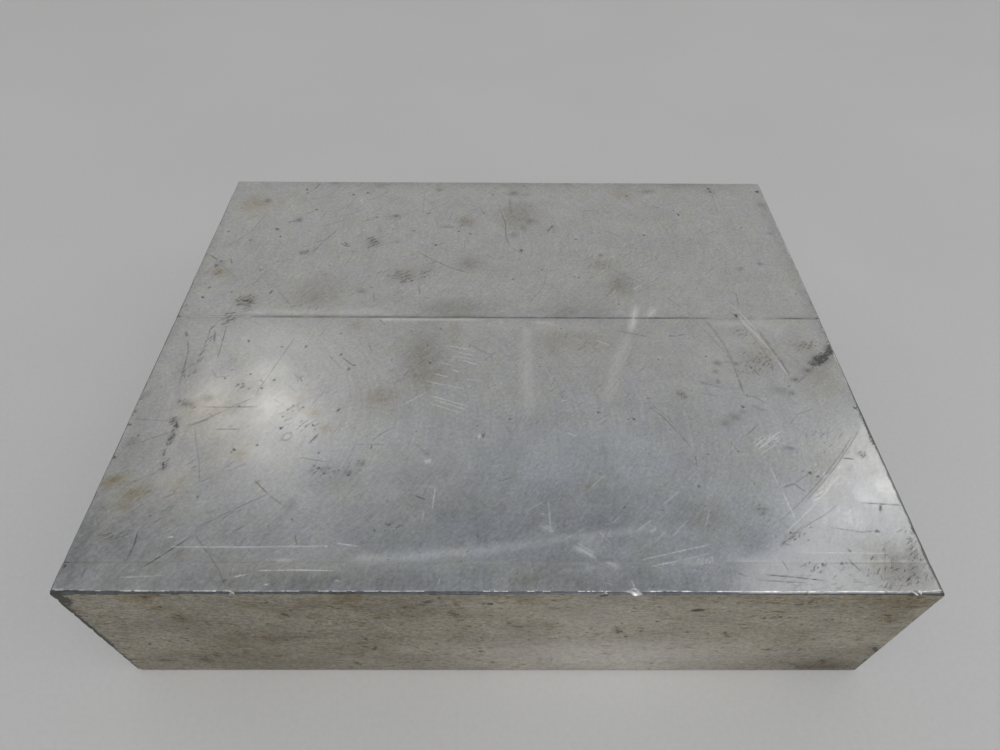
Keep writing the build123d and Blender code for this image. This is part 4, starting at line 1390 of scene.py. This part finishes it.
        # Bare metal, and painted glints
        colour = self.mix(bare_and_glint, colour, BARE_METAL_AND_GLINT)
        roughness = self.total(roughness, self.product(dirt, 0.25), self.product(bare_and_glint, -0.10))
        metallic = self.math("SUBTRACT", 1.0, self.product(dirt, 0.75))
        self.feed(self.shader.inputs["Base Color"], colour)
        self.feed(self.shader.inputs["Roughness"], roughness)
        self.feed(self.shader.inputs["Metallic"], metallic)
        return self.material


# Colours of the metal and of what lies on it, painted highlights, reflections and shade among them
GREEN_METAL = (0.526, 0.529, 0.502, 1)
VIOLET_METAL = (0.516, 0.511, 0.530, 1)
WORN_METAL_AND_HIGHLIGHT = (0.90, 0.885, 0.86, 1)
BARE_METAL_AND_GLINT = (0.96, 0.96, 0.96, 1)
MILL_METAL = (0.466, 0.440, 0.374, 1)
MILL_METAL_DARK = (0.352, 0.326, 0.270, 1)
SAWN_METAL = (0.56, 0.56, 0.55, 1)
# The bevels' colour is dark partly with dirt and partly as painted shade for their dark reflection
BEVEL_DIRT_AND_SHADE = (0.115, 0.120, 0.130, 1)
STAIN_TINT = (0.73, 0.64, 0.46, 1)
BROWN_TINT = (0.72, 0.58, 0.38, 1)
RUDDY_TINT = (1.05, 0.985, 0.94, 1)
GREENISH_TINT = (0.96, 1.005, 1.03, 1)
COOL_REFLECTION_TINT = (0.960, 0.996, 1.050, 1)
WARM_STAIN_AND_REFLECTION_TINT = (1.030, 1.000, 0.955, 1)
DULL_AND_SHADE_TINT = (0.545, 0.560, 0.580, 1)
DIRT = (0.030, 0.030, 0.028, 1)


# The cutter's tracks are drawn a little flatter than its circle and kept off its very edge. Their streaks
# are drawn out by squeezing the places across the bar.
TRACK_FLATNESS = 0.96
TRACK_LIMIT = 0.98
TRACK_SQUEEZE = 0.05


def cutter_lay(finish, side, scale):
    """Streaks along the curved tracks of the cutter: of its leading side (1) or its trailing side (-1)."""
    split = finish.node("ShaderNodeSeparateXYZ")
    finish.feed(split.inputs[0], finish.millimetres)
    x, y = split.outputs[0], split.outputs[1]
    back = finish.step(y, BACK_LINE / MM - 0.05, BACK_LINE / MM + 0.05)
    middle_centre = (BACK_LINE + FRONT_LINE) / 2 / MM
    back_centre = (BACK_LINE + HIGH[1]) / 2 / MM
    centre = finish.total(middle_centre, finish.product(back, back_centre - middle_centre))
    across = finish.product(finish.math("SUBTRACT", y, centre), TRACK_FLATNESS / CUTTER_RADIUS_MM)
    across = finish.math("MAXIMUM", finish.math("MINIMUM", across, TRACK_LIMIT), -TRACK_LIMIT)
    bow = finish.math("SQRT", finish.math("SUBTRACT", 1.0, finish.product(across, across)))
    track = finish.math("SUBTRACT", x, finish.product(bow, CUTTER_RADIUS_MM * side))
    place = finish.node("ShaderNodeCombineXYZ")
    finish.feed(place.inputs[0], track)
    finish.feed(place.inputs[1], finish.product(y, TRACK_SQUEEZE))
    finish.feed(place.inputs[2], side)
    return finish.noise(place.outputs[0], scale, 3.0, 0.6)


def milled_finish():
    """The upper face: crossing cutter tracks, mottling of every size, hairline scratches and specks."""
    finish = Finish("milled_aluminium")
    place = finish.millimetres
    mottling = finish.noise(place, 0.07, 8.0, 0.80)
    grain = finish.noise(place, 0.9, 4.0, 0.78)
    hatch = finish.noise(finish.scaled(place, (0.55, 2.6, 1.0), 40), 1.0, 3.0, 0.7)
    leading = cutter_lay(finish, 1, 1.1)
    trailing = cutter_lay(finish, -1, 0.8)
    tint = finish.noise(place, 0.08, 8.0, 0.82)
    colour = finish.mix(finish.step(tint, 0.36, 0.64), GREEN_METAL, VIOLET_METAL)
    colour = finish.toned(
        colour, (mottling, 0.13), (grain, 0.20), (hatch, 0.14), (leading, 0.07), (trailing, 0.025)
    )
    dark_lines = finish.total(
        finish.hairlines(24, 0.42, 16, 16),
        finish.hairlines(71, 0.38, 14, 20),
        finish.hairlines(-38, 0.40, 12, 14),
    )
    pale_lines = finish.total(finish.hairlines(-16, 0.34, 12, 13), finish.hairlines(52, 0.34, 18, 20))
    colour = finish.mix(finish.product(pale_lines, 0.25), colour, WORN_METAL_AND_HIGHLIGHT)
    grimy = finish.step(finish.noise(place, 0.06, 4.0, 0.65), 0.46, 0.66)
    crumbs = finish.step(finish.noise(place, 0.95, 4.0, 0.66, 0.5), 0.60, 0.74)
    specks = finish.step(finish.noise(place, 0.42, 2.0, 0.5, 0.4), 0.73, 0.77)
    dirt = finish.total(
        finish.product(dark_lines, 0.28),
        finish.product(crumbs, finish.spread(grimy, 0.12, 0.44)),
        finish.product(specks, grimy, 0.45),
    )
    height = finish.total(
        finish.product(leading, 0.5),
        finish.product(grain, 0.4),
        finish.product(dark_lines, -0.6),
        finish.product(pale_lines, -0.4),
    )
    finish.bump(height, 0.012 * MM)
    roughness = finish.total(finish.spread(mottling, 0.26, 0.38), finish.spread(grain, -0.03, 0.03))
    return finish.marked(colour, roughness, dirt)


def mill_finish():
    """The sides and underside as they left the mill: matt, streaked along the bar, with brown dashes."""
    finish = Finish("mill_aluminium")
    streaks = finish.long_noise(0.10, 0.55, 4.0, 0.6)
    fine_streaks = finish.long_noise(0.22, 2.2, 3.0, 0.7)
    grit = finish.long_noise(0.6, 1.5, 4.0, 0.78)
    clouds = finish.long_noise(0.5, 0.06, 4.0, 0.6)
    colour = finish.mix(finish.step(clouds, 0.34, 0.66), MILL_METAL, MILL_METAL_DARK)
    colour = finish.toned(colour, (streaks, 0.10), (fine_streaks, 0.20), (grit, 0.58))
    hue = finish.long_noise(0.6, 0.8, 4.0, 0.75)
    colour = finish.times(colour, finish.mix(finish.step(hue, 0.38, 0.62), RUDDY_TINT, GREENISH_TINT))
    dashes = finish.long_noise(0.36, 0.85, 4.0, 0.66)
    crumbs = finish.long_noise(0.55, 1.9, 3.0, 0.66)
    kept = finish.step(finish.noise(finish.millimetres, 0.07, 3.0), 0.42, 0.62)
    brown = finish.total(finish.step(dashes, 0.52, 0.64), finish.step(crumbs, 0.55, 0.66))
    brown = finish.capped(finish.product(brown, finish.spread(kept, 0.42, 0.85)))
    colour = finish.tinted(brown, colour, BROWN_TINT)
    dark = finish.total(finish.step(dashes, 0.60, 0.70), finish.step(crumbs, 0.62, 0.72))
    dirt = finish.product(dark, finish.spread(kept, 0.25, 0.85), 0.75)
    height = finish.total(finish.product(streaks, 0.6), finish.product(fine_streaks, 0.5))
    finish.bump(height, 0.03 * MM)
    roughness = finish.total(finish.spread(streaks, 0.40, 0.50), finish.spread(fine_streaks, -0.03, 0.03))
    return finish.marked(colour, roughness, dirt)


def sawn_finish():
    """The sawn ends: fine saw lines across the bar, with dirt in some of them."""
    finish = Finish("sawn_aluminium")
    across = finish.scaled(finish.millimetres, (1.0, 0.03, 1.0))
    lines = finish.noise(across, 1.5, 3.0, 0.6)
    broad_lines = finish.noise(across, 0.30, 3.0, 0.6)
    patches = finish.noise(finish.millimetres, 0.06, 3.0)
    colour = finish.toned(SAWN_METAL, (lines, 0.14), (broad_lines, 0.10), (patches, 0.08))
    specks = finish.step(finish.noise(finish.millimetres, 0.9, 3.0, 0.6), 0.66, 0.74)
    dirt = finish.total(finish.product(finish.step(lines, 0.60, 0.80), 0.22), finish.product(specks, 0.4))
    finish.bump(lines, 0.05 * MM)
    roughness = finish.total(finish.spread(patches, 0.36, 0.46), finish.spread(lines, -0.05, 0.05))
    return finish.marked(colour, roughness, dirt)


def bevel_finish():
    """The broken edges: filed, and dark, partly with dirt and partly with painted shade for their dark
    reflection.
    """
    finish = Finish("bevelled_edge")
    patches = finish.noise(finish.millimetres, 0.8, 3.0, 0.6)
    fine = finish.noise(finish.millimetres, 3.0, 2.0)
    colour = finish.toned(BEVEL_DIRT_AND_SHADE, (patches, 0.30), (fine, 0.15))
    finish.bump(fine, 0.04 * MM)
    roughness = finish.spread(patches, 0.32, 0.48)
    return finish.marked(colour, roughness, 0.0)


# The floor: its colour, how far it reaches each way, and its height, a hair below the underside of the bar
# so that the two don't share one plane
FLOOR_COLOUR = (0.486, 0.486, 0.483, 1)
FLOOR_REACH = 3.0
FLOOR_HEIGHT = -0.02 * MM
# Lamps: azimuth (0 behind the bar, 90 to its right) and elevation in degrees, distance, side and power
LAMPS = {
    "key_lamp": (180, 62, 2.2, 2.4, 24.0),
    "side_lamp": (108, 38, 2.2, 1.2, 4.5),
    "left_lamp": (-31, 53, 2.0, 0.25, 0.30),
    "right_lamp": (53, 46.5, 2.0, 0.25, 0.30),
}
# Colour of the sky at each height of its direction
SKY = (
    (0.0, (0.58, 0.58, 0.57, 1)),
    (0.75, (0.53, 0.53, 0.52, 1)),
    (0.90, (0.345, 0.36, 0.38, 1)),
    (1.0, (0.225, 0.245, 0.27, 1)),
)


def make_floor():
    """A plain pale floor with a fine grain, large enough to fill the view."""
    mesh = bpy.data.meshes.new("floor")
    corners = [(-1, -1), (1, -1), (1, 1), (-1, 1)]
    places = [(x * FLOOR_REACH, y * FLOOR_REACH, FLOOR_HEIGHT) for x, y in corners]
    mesh.from_pydata(places, [], [(0, 1, 2, 3)])
    floor = new_object("floor", mesh)
    finish = Finish("pale_floor")
    grain = finish.noise(finish.millimetres, 0.55, 3.0, 0.6)
    clouds = finish.noise(finish.millimetres, 0.006, 3.0)
    colour = finish.toned(FLOOR_COLOUR, (grain, 0.035), (clouds, 0.03))
    finish.feed(finish.shader.inputs["Base Color"], colour)
    finish.feed(finish.shader.inputs["Roughness"], finish.spread(grain, 0.42, 0.56))
    finish.bump(grain, 0.05 * MM)
    mesh.materials.append(finish.material)


def make_lamp(name, azimuth, elevation, distance, size, power):
    """A square soft lamp, aimed at the bar."""
    a, e = math.radians(azimuth), math.radians(elevation)
    place = distance * Vector((math.sin(a) * math.cos(e), math.cos(a) * math.cos(e), math.sin(e)))
    light = bpy.data.lights.new(name, "AREA")
    light.size = size
    light.energy = power
    lamp = new_object(name, light)
    lamp.location = place
    lamp.rotation_euler = place.to_track_quat("Z", "Y").to_euler()


def make_world():
    """An even pale surround, darker overhead."""
    world = bpy.data.worlds.new("studio")
    world.use_nodes = True
    nodes, links = world.node_tree.nodes, world.node_tree.links
    coordinates = nodes.new("ShaderNodeTexCoord")
    split = nodes.new("ShaderNodeSeparateXYZ")
    ramp = nodes.new("ShaderNodeValToRGB")
    links.new(coordinates.outputs["Generated"], split.inputs[0])
    links.new(split.outputs["Z"], ramp.inputs["Fac"])
    links.new(ramp.outputs["Color"], nodes["Background"].inputs["Color"])
    stops = ramp.color_ramp.elements
    while len(stops) < len(SKY):
        stops.new(0.5)
    for stop, (height, colour) in zip(stops, SKY):
        stop.position = height
        stop.color = colour
    bpy.context.scene.world = world


def make_camera():
    """The camera of the photograph."""
    data = bpy.data.cameras.new("camera")
    data.lens = LENS_MM
    data.sensor_width = SENSOR_MM
    data.clip_start = CLIP_START
    camera = new_object("camera", data)
    turn = Matrix.Rotation(math.radians(CAMERA_YAW), 3, "Z")
    tilt = Matrix.Rotation(math.radians(90 + CAMERA_PITCH), 3, "X")
    roll = Matrix.Rotation(math.radians(CAMERA_ROLL), 3, "Z")
    camera.location = CAMERA_PLACE
    camera.rotation_euler = (turn @ tilt @ roll).to_euler()
    bpy.context.scene.camera = camera


build_bar([milled_finish(), mill_finish(), sawn_finish(), bevel_finish()])
make_floor()
for lamp_name, lamp_values in LAMPS.items():
    make_lamp(lamp_name, *lamp_values)
make_world()
make_camera()
bpy.context.scene.view_settings.view_transform = "Standard"
